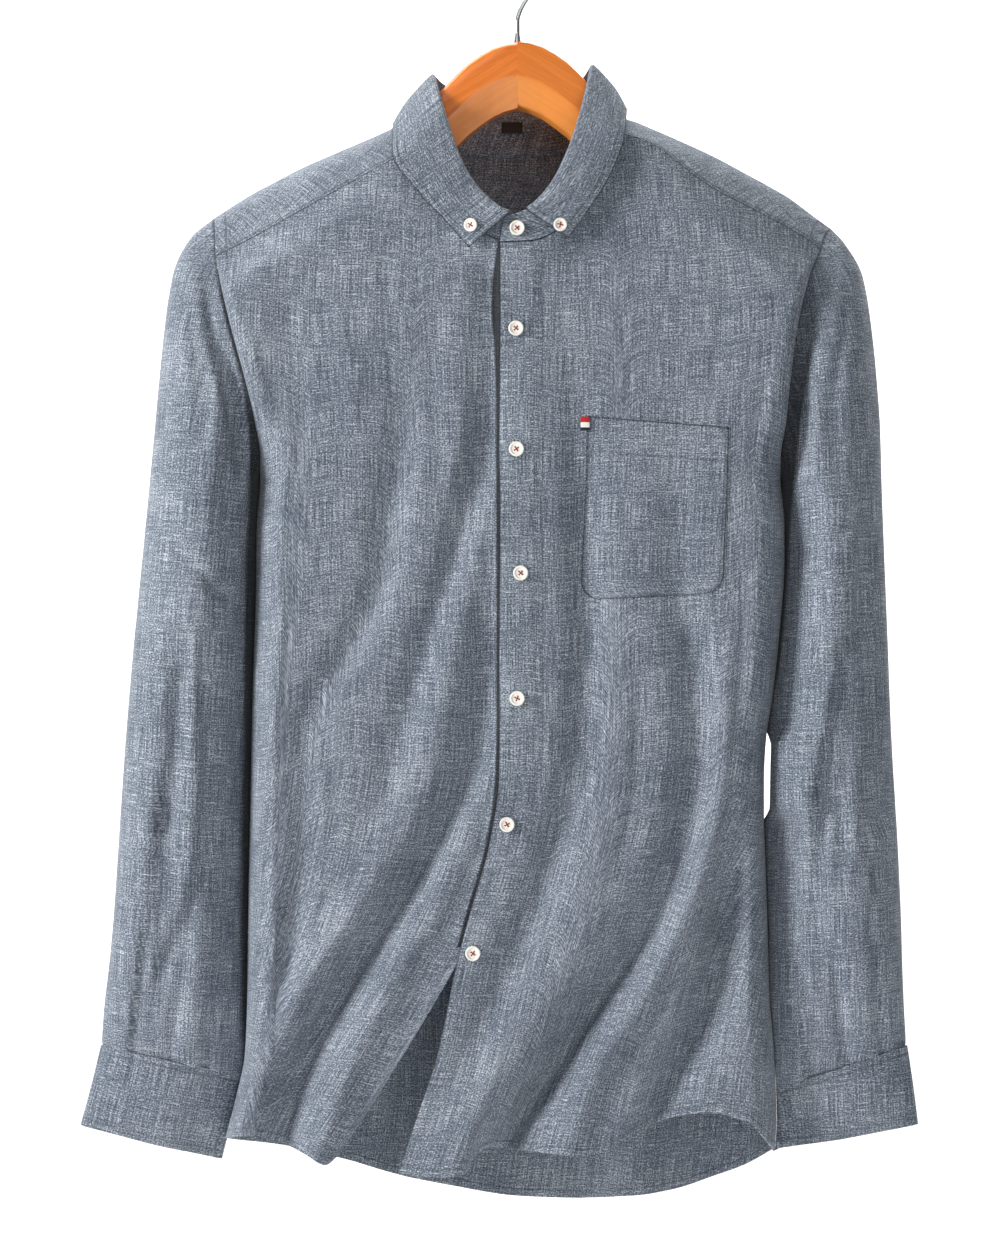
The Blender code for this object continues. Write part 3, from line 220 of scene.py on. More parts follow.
# Hems, as seen: drop at each x.
FRONT_HEM = {
    # x, drop
    RIGHT: (
        (-213, 868), (-199, 866.5), (-185, 868.5), (-170, 872.5), (-155.5, 880), (-141, 888), (-131, 881),
    ),
    LEFT: (
        (-88, 893), (-58, 897), (-40, 896), (-30, 882), (-19, 875), (27, 880), (46, 882), (64, 877.5),
        (84, 866), (111, 853), (140, 850), (168, 857), (187, 876),
    ),
}
HEM_BACK = (
    # x, drop
    (-213, 868), (-170, 873), (-125, 883.5), (-87, 894.5), (-47, 902.5), (0, 910), (45, 911.5),
    (84, 910), (110, 906), (141, 896.5), (170, 885.5), (187, 876),
)

# %% The main folds
# Folds of the two fronts, as seen. A positive depth is a trough and a negative one a ridge.
# "left" and "right" are how wide the fold is on either side of its line.
FOLDS = {
    # name: (left, right, ((x, drop, depth), ...))
    "chest_hollow": (12, 12, ((-166, 240, 0), (-170, 285, 3), (-174, 330, 2), (-176, 370, 0))),
    "right_outer": (15, 13, (
        (-80, 290, 0), (-84, 366, 5), (-92, 402, 7), (-98, 453, 8), (-112, 490, 8), (-127, 519, 7),
        (-146, 548, 5), (-156, 592, 4), (-156, 658, 5), (-166, 709, 8), (-172, 745, 10),
        (-183, 782, 12), (-196, 806, 12), (-214, 840, 8))),
    "right_middle": (13, 12, (
        (-18, 290, 0), (-21, 330, 5), (-25, 366, 8), (-39, 409, 9), (-53, 461, 8), (-68, 512, 6),
        (-83, 563, 5), (-98, 614, 3), (-110, 650, 0))),
    "right_inner": (17, 11, (
        (-22, 430, 0), (-22, 504, 6), (-26, 548, 9), (-34, 592, 12), (-53, 636, 14), (-80, 687, 15),
        (-109, 731, 16), (-138, 782, 17), (-160, 826, 18), (-172, 866, 18))),
    "right_sweep": (14, 16, (
        (-30, 431, 0), (-44, 504, -3), (-58, 563, -4), (-72, 621, -4), (-88, 650, -5),
        (-124, 709, -7), (-160, 760, -9), (-188, 804, -10), (-208, 862, -10))),
    "right_lap": (13, 13, (
        (-28, 630, 0), (-57, 694, -4), (-87, 745, -6), (-109, 789, -8), (-127, 826, -9), (-146, 880, -9))),
    "left_inner": (13, 15, (
        (44, 310, 0), (46, 351, 3), (48, 402, 6), (50, 475, 7), (48, 548, 7), (45, 599, 7),
        (32, 636, 7), (17, 680, 8), (-1, 723, 8), (-13, 753, 8), (-30, 800, 5), (-50, 850, 0))),
    "left_broad": (24, 20, (
        (74, 520, 0), (66, 600, -3), (58, 658, -4), (38, 731, -6), (10, 782, -8), (-18, 833, -10),
        (-44, 894, -10))),
    "left_middle": (15, 13, (
        (118, 330, 0), (118, 420, 3), (119, 475, 4), (129, 512, 8), (131, 592, 12), (122, 643, 14),
        (107, 687, 17), (89, 723, 19), (64, 760, 21), (39, 796, 22), (16, 833, 23), (-4, 862, 23),
        (-20, 894, 22))),
    "left_ridge": (13, 10, (
        (151, 510, 0), (151, 560, -4), (148, 607, -6), (137, 658, -7), (126, 694, -8), (107, 738, -8),
        (88, 775, -8), (63, 811, -8), (36, 880, -6))),
    "left_side": (9, 20, (
        (180, 560, 0), (177, 600, 8), (170, 636, 15), (157, 680, 21), (147, 716, 24), (139, 753, 24),
        (128, 782, 23), (114, 811, 21), (101, 840, 18), (84, 880, 14))),
    "left_side_crease": (6, 6, (
        (170, 670, 0), (168, 694, 4), (164, 723, 6), (159, 753, 5), (156, 785, 0))),
}
# Folds of the back: soft pleats that fall from the yoke.
BACK_FOLDS = {
    "pleat_right": (13, 13, ((-62, 225, -2), (-64, 330, -6), (-70, 560, -8), (-84, 900, -12))),
    "pleat_left": (13, 13, ((60, 225, -2), (62, 330, -6), (60, 560, -8), (48, 900, -12))),
    "hollow_right": (17, 17, ((-100, 240, 0), (-106, 400, 5), (-118, 640, 9), (-132, 900, 15))),
    "hollow_middle": (20, 20, ((-4, 240, 0), (-6, 420, 4), (-16, 640, 7), (-26, 900, 12))),
    "hollow_left": (17, 17, ((100, 240, 0), (104, 400, 5), (100, 640, 9), (88, 900, 16))),
    "ridge_right": (14, 14, ((-140, 360, 0), (-150, 560, -5), (-170, 880, -10))),
    "ridge_left": (14, 14, ((140, 360, 0), (140, 560, -5), (134, 900, -9))),
}

# %% Guides, and the lines over the shoulder
# Columns of each front: from its edge to the placket's stitching, the pocket's near side, the
# neck end of the yoke seam, the pocket's far side, the start of the roll, and the side.
FRONT_GUIDES = {
    LEFT: (
        # drop, x of the pocket's near side, the neck, the pocket's far side
        (214, 47, 73, 154), (345, 52.8, 77, 154), (472, 45.5, 72, 149), (548, 44, 72, 146),
        (621, 36, 66, 138), (694, 22, 52, 124), (767, 0, 30, 104), (840, -22, 8, 84), (900, -36, -6, 72),
    ),
    RIGHT: (
        (214, -36, -72, -150), (345, -36, -82, -152), (402, -37, -91, -153), (453, -39, -99, -156),
        (490, -41, -112, -160), (519, -43, -125, -164), (548, -46, -138, -167), (592, -52, -150, -170),
        (636, -68, -157, -173), (687, -92, -163, -176), (731, -116, -169, -179), (782, -142, -181, -185),
        (826, -163, -190, -195), (870, -176, -198, -203),
    ),
}
# The back yoke seam, between its two ends on the armholes.
BACK_CORNER = 236.0  # drop of its ends
BACK_SEAM = (
    # x, y, drop
    (-205, 36, 239), (-140, 43, 247), (-60, 45, 250), (0, 45, 250), (60, 45, 250), (140, 43, 247),
    (205, 36, 239),
)
# The yoke's lines over the shoulder, from the crest: shares of the way in y and in drop.
YOKE_FRONT = ((0, 0), (0.22, 0.04), (0.45, 0.18), (0.72, 0.52), (1, 1))
YOKE_BEHIND = ((0.3, 0.05), (0.62, 0.22), (0.86, 0.54), (1, 1))
NAPE_Y = 56.0
NEAR_COLLAR = (0.02, 0.15, 0.01)  # and how much of the way is close to the collar, in x, y and drop

# %% Depths, sleeves and cuffs
# The pieces' depths: y of the fronts' and the back's flat at each drop.
DEPTH = (
    # drop, front y, back y
    (140, -30, 40), (200, -44, 44), (260, -47, 46), (400, -46, 46), (600, -44, 44), (800, -42, 43),
    (920, -42, 42),
)

# The sleeves: the outer and inner ends of each ring, its half depth and the y of its middle.
SLEEVE = {
    # outer x, drop, inner x, drop, half depth, middle y
    RIGHT: (
        (-239.5, 212, -189.8, 392, 40, 2),
        (-249, 228, -190.4, 399, 44, 2),
        (-255, 256, -191, 409, 47, 2),
        (-260.6, 305, -191.8, 424, 49, 2),
        (-265, 352, -192, 444, 50, 2),
        (-269.5, 400, -192.3, 468, 49, 2),
        (-274, 446, -193.2, 500, 47, 2),
        (-280.5, 512, -194.6, 540, 44, 2),
        (-286, 577, -195.7, 590, 42, 2),
        (-290.5, 643, -197, 648, 40, 2),
        (-295, 709, -198, 707, 36, 2),
        (-299.5, 755, -198.9, 762, 30, 3),
        (-303, 785, -200.8, 804, 20, 4),
        (-304, 799, -203, 822, 14, 4),
    ),
    LEFT: (
        (238, 214, 194, 392, 40, 0),
        (248.5, 228, 195.5, 399, 44, 0),
        (255.5, 256, 196.4, 409, 47, 0),
        (261.5, 305, 196.8, 424, 49, 0),
        (265, 355, 196.5, 446, 50, 0),
        (266.2, 400, 195.4, 470, 49, -2),
        (268, 446, 193, 500, 47, -4),
        (270.5, 512, 189.6, 530, 45, -6),
        (273, 577, 184.8, 585, 43, -8),
        (277, 643, 184, 645, 41, -8),
        (280, 709, 184, 710, 37, -8),
        (281.5, 760, 186, 768, 30, -8),
        (283, 787, 189.6, 812, 20, -8),
        (284, 799, 190.4, 832, 14, -8),
    ),
}
CUFF = {
    # outer x, drop, inner x, drop, half depth, middle y
    RIGHT: (
        (-304, 800, -204.5, 823, 14, 4),
        (-311, 829, -211, 853.5, 12.5, 4),
        (-319, 858.5, -219, 885, 11, 4),
    ),
    LEFT: (
        (284.5, 800, 190.5, 833, 14, -8),
        (289, 830, 190, 855, 12.5, -8),
        (292.5, 858, 189.5, 878, 11, -8),
    ),
}
# Sleeve folds: how deep, where round the sleeve (0 is outermost, 0.25 the front, 0.5 the body's
# side), how wide as a share of the way round, and the drops where it starts, peaks and ends.
SLEEVE_FOLDS = {
    RIGHT: (
        # place, width, depth, start, peak, end
        (0.22, 0.055, 9, 420, 740, 1000),
        (0.38, 0.05, 6, 640, 930, 1060),
        (0.72, 0.06, 8, 400, 640, 1000),
    ),
    LEFT: (
        (0.14, 0.05, 6, 330, 560, 720),
        (0.27, 0.06, 8, 560, 800, 1060),
        (0.75, 0.06, 8, 400, 640, 1000),
    ),
}

# %% [markdown]
# ## Smooth curves through the tables
#
# A spline that never overshoots keeps a hem from bulging between two of its rows, so every table is
# read through one.

# %% Curves
def place(point):
    """A table's x, y and drop as a real point in millimetres."""
    x, y, drop = point[..., 0], point[..., 1], point[..., 2]
    scale = 1 + (y - FRONT_PLANE) / EYE
    z = -(EYE_DROP + (drop - EYE_DROP) * scale) - HOOK_RISE
    return np.stack([x * scale, y, z], axis=-1)


def smooth(table, at):
    """The table's other columns at each value of its first one, on a smooth curve."""
    rows = np.array([[float(value) for value in row] for row in table])
    if rows[0, 0] > rows[-1, 0]:
        rows = rows[::-1]
    at = np.clip(np.asarray(at, float), rows[0, 0], rows[-1, 0])
    key = rows[:, 0]
    steps = np.diff(key)
    slope = np.diff(rows[:, 1:], axis=0) / steps[:, None]
    bend = np.zeros_like(rows[:, 1:])
    same = slope[:-1] * slope[1:] > 0
    inner = np.zeros_like(slope[:-1])
    inner[same] = 2 * slope[:-1][same] * slope[1:][same] / (slope[:-1] + slope[1:])[same]
    bend[1:-1] = inner
    bend[0], bend[-1] = slope[0], slope[-1]
    index = np.clip(np.searchsorted(key, at, side="right") - 1, 0, len(key) - 2)
    share = ((at - key[index]) / steps[index])[..., None]
    step = steps[index][..., None]
    low, high = rows[index, 1:], rows[index + 1, 1:]
    out = (
        low * (1 + 2 * share) * (1 - share) ** 2
        + high * share**2 * (3 - 2 * share)
        + bend[index] * step * share * (1 - share) ** 2
        - bend[index + 1] * step * share**2 * (1 - share)
    )
    return out[..., 0] if out.shape[-1] == 1 else out


def distances(points):
    """How far along the line each point is."""
    return np.concatenate([[0], np.cumsum(np.linalg.norm(np.diff(points, axis=0), axis=1))])


def way_along(points):
    """Each point's share of the way along the line."""
    way = distances(points)
    return way / way[-1]


def along(rows, shares):
    """Points at shares of the way along a smooth curve through the rows."""
    rows = np.asarray(rows, float)
    return smooth(np.column_stack([way_along(rows), rows]), shares)


def ease(value):
    """0 to 1 with soft ends."""
    value = np.clip(value, 0, 1)
    return value * value * (3 - 2 * value)


def spread(keys, counts):
    """Values from key to key, each span cut into its own count of equal steps."""
    values = [np.linspace(a, b, n, endpoint=False) for a, b, n in zip(keys, keys[1:], counts)]
    return np.concatenate([*values, [keys[-1]]])


def unit(vectors):
    return vectors / np.maximum(np.linalg.norm(vectors, axis=-1, keepdims=True), 1e-9)


def seen(points):
    """x and drop of real points, as they look from the eye."""
    scale = 1 + (points[..., 1] - FRONT_PLANE) / EYE
    drop = EYE_DROP + (-points[..., 2] - HOOK_RISE - EYE_DROP) / scale
    return points[..., 0] / scale, drop


def finer(grid, steps):
    """The grid with more rows: each column is a smooth curve through the rows it had."""
    rows = len(grid)
    out = np.zeros(((rows - 1) * steps + 1, *grid.shape[1:]))
    for column in range(grid.shape[1]):
        way = way_along(grid[:, column])
        at = np.interp(np.arange(len(out)) / steps, np.arange(rows), way)
        out[:, column] = smooth(np.column_stack([way, grid[:, column]]), at)
    return out


print("half way down, the right side is at x =", round(float(smooth(SIDE_SEAM[RIGHT], 640.0)), 1))

# %% [markdown]
# ## The panels
#
# A cutter would lay each panel flat. Here each is a grid of points in its hanging shape, rows down
# and columns across, so a seam is simply the row or column that two panels share.

# %% Folds and depths
def fold_depth(folds, x, drop):
    """How far the folds push the cloth in, in y, at each x and drop."""
    depth = np.zeros(np.broadcast(x, drop).shape)
    for left, right, line in folds.values():
        table = [(row[1], row[0], row[2]) for row in line]
        at = smooth(table, drop)
        inside = (drop >= table[0][0]) & (drop <= table[-1][0] + 40)
        off = x - at[..., 0]
        width = np.where(off < 0, left, right)
        depth += np.where(inside, at[..., 1], 0) * np.exp(-((off / width) ** 2))
    return depth


def front_y(x, drop, side_gap):
    """y of a front's outer face, side_gap from its side: its flat, with the folds fading at the side."""
    flat = smooth([row[:2] for row in DEPTH], drop)
    return flat + fold_depth(FOLDS, x, drop) * ease(side_gap / FOLD_FADE)


def back_y(x, drop, side_gap):
    flat = smooth([(row[0], row[2]) for row in DEPTH], drop)
    return flat - fold_depth(BACK_FOLDS, x, drop) * ease(side_gap / FOLD_FADE)


# %% Fronts
def armhole(side, drops, part):
    """Points down an armhole's front or back half."""
    at = smooth(ARMHOLE[side], drops)
    y = at[:, 1] if part == "front" else at[:, 2]
    return np.column_stack([at[:, 0], y, drops])


def row_levels(top, hem, part):
    """A column's drops, row by row, from its top to its hem."""
    arm, underarm, waist, skirt = ROWS[part]
    parts = (
        (top, POCKET_TOP, arm),
        (POCKET_TOP, UNDERARM, underarm),
        (UNDERARM, POCKET_BOTTOM, waist),
        (POCKET_BOTTOM, hem, skirt),
    )
    drops = [np.linspace(a, b, n, endpoint=False) for a, b, n in parts]
    return np.concatenate(drops + [[hem]])


def arm_rows(part):
    """Rows of a panel down its armhole, to the underarm."""
    return ROWS[part][0] + ROWS[part][1]


def roll_width(row, part):
    """How far in from its side a panel starts to turn, at a row."""
    return ROLL_TOP + (ROLL - ROLL_TOP) * ease(row / arm_rows(part))


def lap(x, drop):
    """How far in front of the right one the left front lies."""
    return OVERLAP_STEP * ease((LAP_END - x + smooth(EDGE[LEFT], drop)) / LAP_FADE)


def side_points(side, part):
    """The outermost column of a body panel: down the armhole, then down the side seam."""
    top = ARMHOLE[side][0][0] if part == "front" else BACK_CORNER
    drops = row_levels(top, SIDE_HEM[side], part)
    arm = arm_rows(part)
    points = armhole(side, drops[: arm + 1], part)
    seam_x = smooth(SIDE_SEAM[side], drops[arm + 1 :])
    seam = np.column_stack([seam_x, np.zeros(len(seam_x)), drops[arm + 1 :]])
    return np.vstack([points, seam])


def neck_row(name):
    """The number of a row of the neck's table."""
    return [row[0] for row in NECK].index(name)


def front_grid(side):
    """The outer face of a front, rows down and columns from its edge to its side, as seen."""
    outer = side_points(side, "front")
    neck_rows = np.array([row[1:4] for row in NECK], float)
    ends = ("left_seam", "over_end") if side == LEFT else ("right_seam", "under_end")
    a, b = sorted(neck_row(name) for name in ends)
    neckline = neck_rows[a : b + 1]
    counts = FRONT_COLUMNS[side]
    total = sum(counts) + 1
    neck_column = sum(counts[:3])
    rows = len(outer)

    # The top of every column.
    seam = np.array(YOKE_SEAM[side], float)
    edge_x = smooth(EDGE[side], FRONT_TOP)
    guide_top = smooth(FRONT_GUIDES[side], FRONT_TOP)
    flat_top = seam[0, 0] - side * ROLL_TOP
    inner = (guide_top[0], seam[-1, 0], guide_top[2])
    top_x = spread((edge_x, edge_x + side * PLACKET_WIDTH, *inner, flat_top, seam[0, 0]), counts)
    neck_table = sorted((row[0], row[1], row[2]) for row in neckline)
    seam_rows = sorted(YOKE_SEAM[side])
    top = np.where(
        (np.arange(total) <= neck_column)[:, None], smooth(neck_table, top_x), smooth(seam_rows, top_x)
    )

    grid = np.zeros((rows, total, 3))
    turn = np.linspace(0, math.pi / 2, counts[-1] + 1)
    first = total - counts[-1] - 1
    # Drops, column by column; x, row by row.
    hems = np.zeros(total)
    for _ in range(3):  # the hem's drop depends on x, and x on the drop
        for column in range(total):
            grid[:, column, 2] = row_levels(top[column, 1], hems[column] or FIRST_HEM, "front")
        grid[:, -1, 2] = outer[:, 2]
        for row in range(rows):
            drop = grid[row, :, 2]
            edge = smooth(EDGE[side], drop[0])
            guides = smooth(FRONT_GUIDES[side], drop[neck_column])
            side_x = outer[row, 0]
            roll = roll_width(row, "front")
            keys = [edge, edge + side * PLACKET_WIDTH, *guides, side_x - side * roll]
            grid[row, : first + 1, 0] = spread(keys, counts[:-1])
            grid[row, first:, 0] = side_x - side * roll * (1 - np.sin(turn))
        grid[0, :, 0] = top_x
        hems = smooth(sorted(FRONT_HEM[side]), grid[-1, :, 0])
        hems[-1] = SIDE_HEM[side]

    x, drop = grid[..., 0], grid[..., 2]
    gap = np.abs(x - outer[:, None, 0])
    y = front_y(x, drop, gap)
    for index, angle in enumerate(turn):
        column = first + index
        y[:, column] = outer[:, 1] + (y[:, column] - outer[:, 1]) * np.cos(angle)
    if side == LEFT:
        y -= lap(x, drop)
    # The top eases on to the yoke seam and the neckline.
    y += (top[:, 0] - y[0]) * (1 - ease((drop - drop[0]) / TOP_EASE))
    y[:, -1] = outer[:, 1]
    grid[..., 1] = y
    return grid


# %% Back and yoke
def back_seam(x):
    """The seam between back and yoke at each x."""
    right, left = (armhole(side, np.array([BACK_CORNER]), "back")[0] for side in (RIGHT, LEFT))
    at = smooth((tuple(right), *BACK_SEAM, tuple(left)), x)
    return np.column_stack([x, at])


def back_grid():
    """The outer face of the back, columns from the wearer's right to the left, as seen."""
    right, left = side_points(RIGHT, "back"), side_points(LEFT, "back")
    rows = len(right)
    roll, flat = BACK_COLUMNS["roll"], BACK_COLUMNS["flat"]
    total = 2 * roll + flat + 1
    grid = np.zeros((rows, total, 3))
    angles = np.linspace(0, math.pi / 2, roll + 1)
    turn = np.concatenate([np.sin(angles[:-1]), np.ones(flat + 1), np.sin(angles[:-1])[::-1]])
    for row in range(rows):
        width = roll_width(row, "back")
        a, b = right[row, 0], left[row, 0]
        rise = width * (1 - np.cos(angles[:-1]))
        x = np.concatenate([a + rise, np.linspace(a + width, b - width, flat + 1), (b - rise)[::-1]])
        grid[row, :, 0] = x
    seam_top = back_seam(grid[0, :, 0])
    for column in range(total):
        hem = smooth(HEM_BACK, grid[-1, column, 0])
        grid[:, column, 2] = row_levels(seam_top[column, 2], hem, "back")
    grid[:, 0, 2], grid[:, -1, 2] = right[:, 2], left[:, 2]
    x, drop = grid[..., 0], grid[..., 2]
    gap = np.minimum(np.abs(x - right[:, None, 0]), np.abs(x - left[:, None, 0]))
    y = back_y(x, drop, gap)
    edge = np.where(np.arange(total) < total / 2, right[:, None, 1], left[:, None, 1])
    y = edge + (y - edge) * turn
    y += (seam_top[:, 1] - y[0]) * (1 - ease((drop - drop[0]) / TOP_EASE))
    y[:, 0], y[:, -1] = right[:, 1], left[:, 1]
    grid[..., 1] = y
    return grid


def neck_curve(kind, first, last, count):
    """count points along the neck's seam or fold, from one row of its table to another."""
    start = 1 if kind == "seam" else 4
    rows = np.array([row[start : start + 3] for row in NECK], float)
    # Both curves are read at distances along the seam, so their points pair up.
    way = distances(np.array([row[1:4] for row in NECK], float))
    return smooth(np.column_stack([way, rows]), np.linspace(way[first], way[last], count))


def over(start, crest, end):
    """A line over the shoulder: level at its crest, and steeper the further down it is."""
    front = [crest + (start - crest) * (a, a, b) for a, b in YOKE_FRONT[::-1]]
    behind = [crest + (end - crest) * (b, a, b) for a, b in YOKE_BEHIND]
    return np.array(front + behind)


def below_neck(start, end):
    """A line from the collar's seam to the back seam: its first half stays close to the collar."""
    behind = np.clip(start[1] / NAPE_Y, 0, 1)
    near = start + (end - start) * np.add(NEAR_COLLAR, (0, 0, 0.2 * behind))
    first = [start + (near - start) * t for t in np.linspace(0, 1, len(YOKE_FRONT))]
    level = end[1] > near[1]
    rest = [near + (end - near) * (b, a if level else b, b) for a, b in YOKE_BEHIND]
    return np.array(first + rest)


def yoke_grid(right_front, left_front, back):
    """The outer face of the yoke: rows from its front edge over the shoulders to its back edge."""
    shoulder_right = right_front[0, sum(FRONT_COLUMNS[RIGHT][:3]) :][::-1]
    shoulder_left = left_front[0, sum(FRONT_COLUMNS[LEFT][:3]) :]
    a, b = neck_row("right_seam"), neck_row("left_seam")
    neck = neck_curve("seam", a, b, 2 * NECK_COLUMNS + 1)
    front = np.vstack([shoulder_right, neck[1:-1], shoulder_left])
    columns = len(front)
    # The crest's x over each shoulder column, and the back seam's.
    crest_right = along(CREST[RIGHT], way_along(shoulder_right))
    crest_left = along(CREST[LEFT], way_along(shoulder_left[::-1]))[::-1]
    behind = back[0]
    grid = np.zeros((YOKE_ROWS + 1, columns, 3))
    for column in range(columns):
        start, end = front[column], behind[column]
        if column < len(shoulder_right):
            grid[:, column] = over(start, crest_right[column], end)
        elif column >= columns - len(shoulder_left):
            grid[:, column] = over(start, crest_left[column - columns], end)
        else:
            grid[:, column] = below_neck(start, end)
            row, crest = (NECK[a + 1], crest_right[-1]) if start[0] < 0 else (NECK[b - 1], crest_left[0])
            side = np.array(row[1:4], float)
            share = (start[1] - neck[0, 1]) / (side[1] - neck[0, 1])
            if share < 1:  # in front of the neck's side, where the crest comes in to the seam
                near = side + (end - side) * NEAR_COLLAR
                grid[:, column] = over(start, crest + (near - crest) * share, end)
    return grid


# %% Sleeves
FULL = 0.9  # a power under 1 makes a ring fuller than an ellipse
FOLD_HALF = 36.0  # rings with less than this half depth have shallower folds
FOLD_ACROSS = 90.0  # millimetres of fold that would take up the whole width
CUFF_TUCK = 7.0  # the sleeve goes on this far into its cuff
LEAN = {RIGHT: 2.4, LEFT: 3.0}  # how far a sleeve's inner side leans towards the body
LEAN_FROM = UNDERARM - 2
DAYLIGHT = (566, 642)  # between these drops the left sleeve hangs away from the body
BEHIND = (8, 24)  # how far back the inner side lies: at both ends, and between them
CUFF_DROP = 800  # about where the cuffs' seams are


def ring_shares(ring):
    """How far round each point of the armhole's ring is, from the shoulder over the front."""
    closed = np.vstack([ring, ring[:1]])
    return way_along(closed)[:-1]


def sleeve_ring(row, turns, folds=()):
    """One ring as seen: row is a line of the sleeve's or cuff's table."""
    outer_x, outer_drop, inner_x, inner_drop, half, middle = row
    centre, level = (outer_x + inner_x) / 2, (outer_drop + inner_drop) / 2
    angle = turns * 2 * math.pi
    round_out, depth = (np.sign(way) * np.abs(way) ** FULL for way in (np.cos(angle), np.sin(angle)))
    x = centre + (outer_x - inner_x) / 2 * round_out
    drop = level + (outer_drop - inner_drop) / 2 * round_out
    push = np.zeros(len(turns))
    for at, width, deep, start, peak, end in folds:
        grow = ease((level - start) / (peak - start)) * ease((end - level) / (end - peak))
        off = (turns - at + 0.5) % 1 - 0.5
        push += deep * grow * np.exp(-((off / width) ** 2)) * min(1, half / FOLD_HALF)
    x = centre + (x - centre) * (1 - push / FOLD_ACROSS)
    y = middle - depth * half
    return np.column_stack([x, middle + (y - middle) * (1 - push / half), drop])


def armhole_ring(yoke, front, back):
    """Rows round an armhole: from the shoulder's top down the front, and up the back."""
    crest = (len(YOKE_FRONT) - 1) * FINER["yoke"]
    arm_front, arm_back = arm_rows("front"), arm_rows("back")
    return np.vstack([
        yoke[: crest + 1][::-1], front[1 : arm_front + 1], back[:arm_back][::-1], yoke[crest + 1 : -1][::-1],
    ])


def sleeve_grid(side, ring0):
    """The sleeve's rings from the armhole to the cuff's seam, real points."""
    table = np.array(SLEEVE[side], float)
    tucked = table[-1] + (0, CUFF_TUCK, 0, CUFF_TUCK, -0.3, 0)
    table = np.vstack([table, tucked])
    way = distances(table[:, :4])
    rows = smooth(np.column_stack([way, table]), way[-1] * np.linspace(0, 1, SLEEVE_ROWS) ** 1.15)
    turns = ring_shares(ring0)
    return np.array([ring0] + [place(sleeve_ring(row, turns, SLEEVE_FOLDS[side])) for row in rows])


def lean_in(points, side):
    """Below the underarm a sleeve's inner side lies behind the body's side, and hides a little there.
    Only beside the waist is there daylight between the two."""
    x, drop = seen(points)
    near = x * -side
    low, high = near.min(axis=1, keepdims=True), near.max(axis=1, keepdims=True)
    share = ease(((near - low) / (high - low) - 0.5) / 0.5) * ease((drop - LEAN_FROM) / 10)
    if side == LEFT:
        share *= 1 - ease((drop - DAYLIGHT[0]) / 16) * ease((DAYLIGHT[1] - drop) / 16)
    middle = ease((drop - LEAN_FROM) / 60) * (1 - ease((drop - CUFF_DROP + 110) / 110))
    back = BEHIND[0] + (BEHIND[1] - BEHIND[0]) * middle
    return points + share[..., None] * np.stack([np.full(back.shape, -side * LEAN[side]), back, 0 * back], -1)


# %% The body's panels as real points
right_seen, left_seen, back_seen = front_grid(RIGHT), front_grid(LEFT), back_grid()
yoke_seen = finer(yoke_grid(right_seen, left_seen, back_seen), FINER["yoke"])
panels = {
    "right_front": place(right_seen), "left_front": place(left_seen), "back": place(back_seen),
    "yoke": place(yoke_seen),
}
for side, word, end in ((RIGHT, "right", 0), (LEFT, "left", -1)):
    ring = armhole_ring(panels["yoke"][:, end], panels[f"{word}_front"][:, -1], panels["back"][:, end])
    panels[f"{word}_sleeve"] = lean_in(finer(sleeve_grid(side, ring), FINER["sleeve"]), side)
for name, points in panels.items():
    print(name, "has", points.shape[0], "rows of", points.shape[1])


# %% [markdown]
# ## Creases
#
# Worn linen keeps its creases: long shallow ones that fan from the armholes and the buttons, and
# short ones across the elbows and cuffs. Each is a soft trough or ridge along a line, steeper on one
# side than on the other and uneven in depth, as a hand would press it.

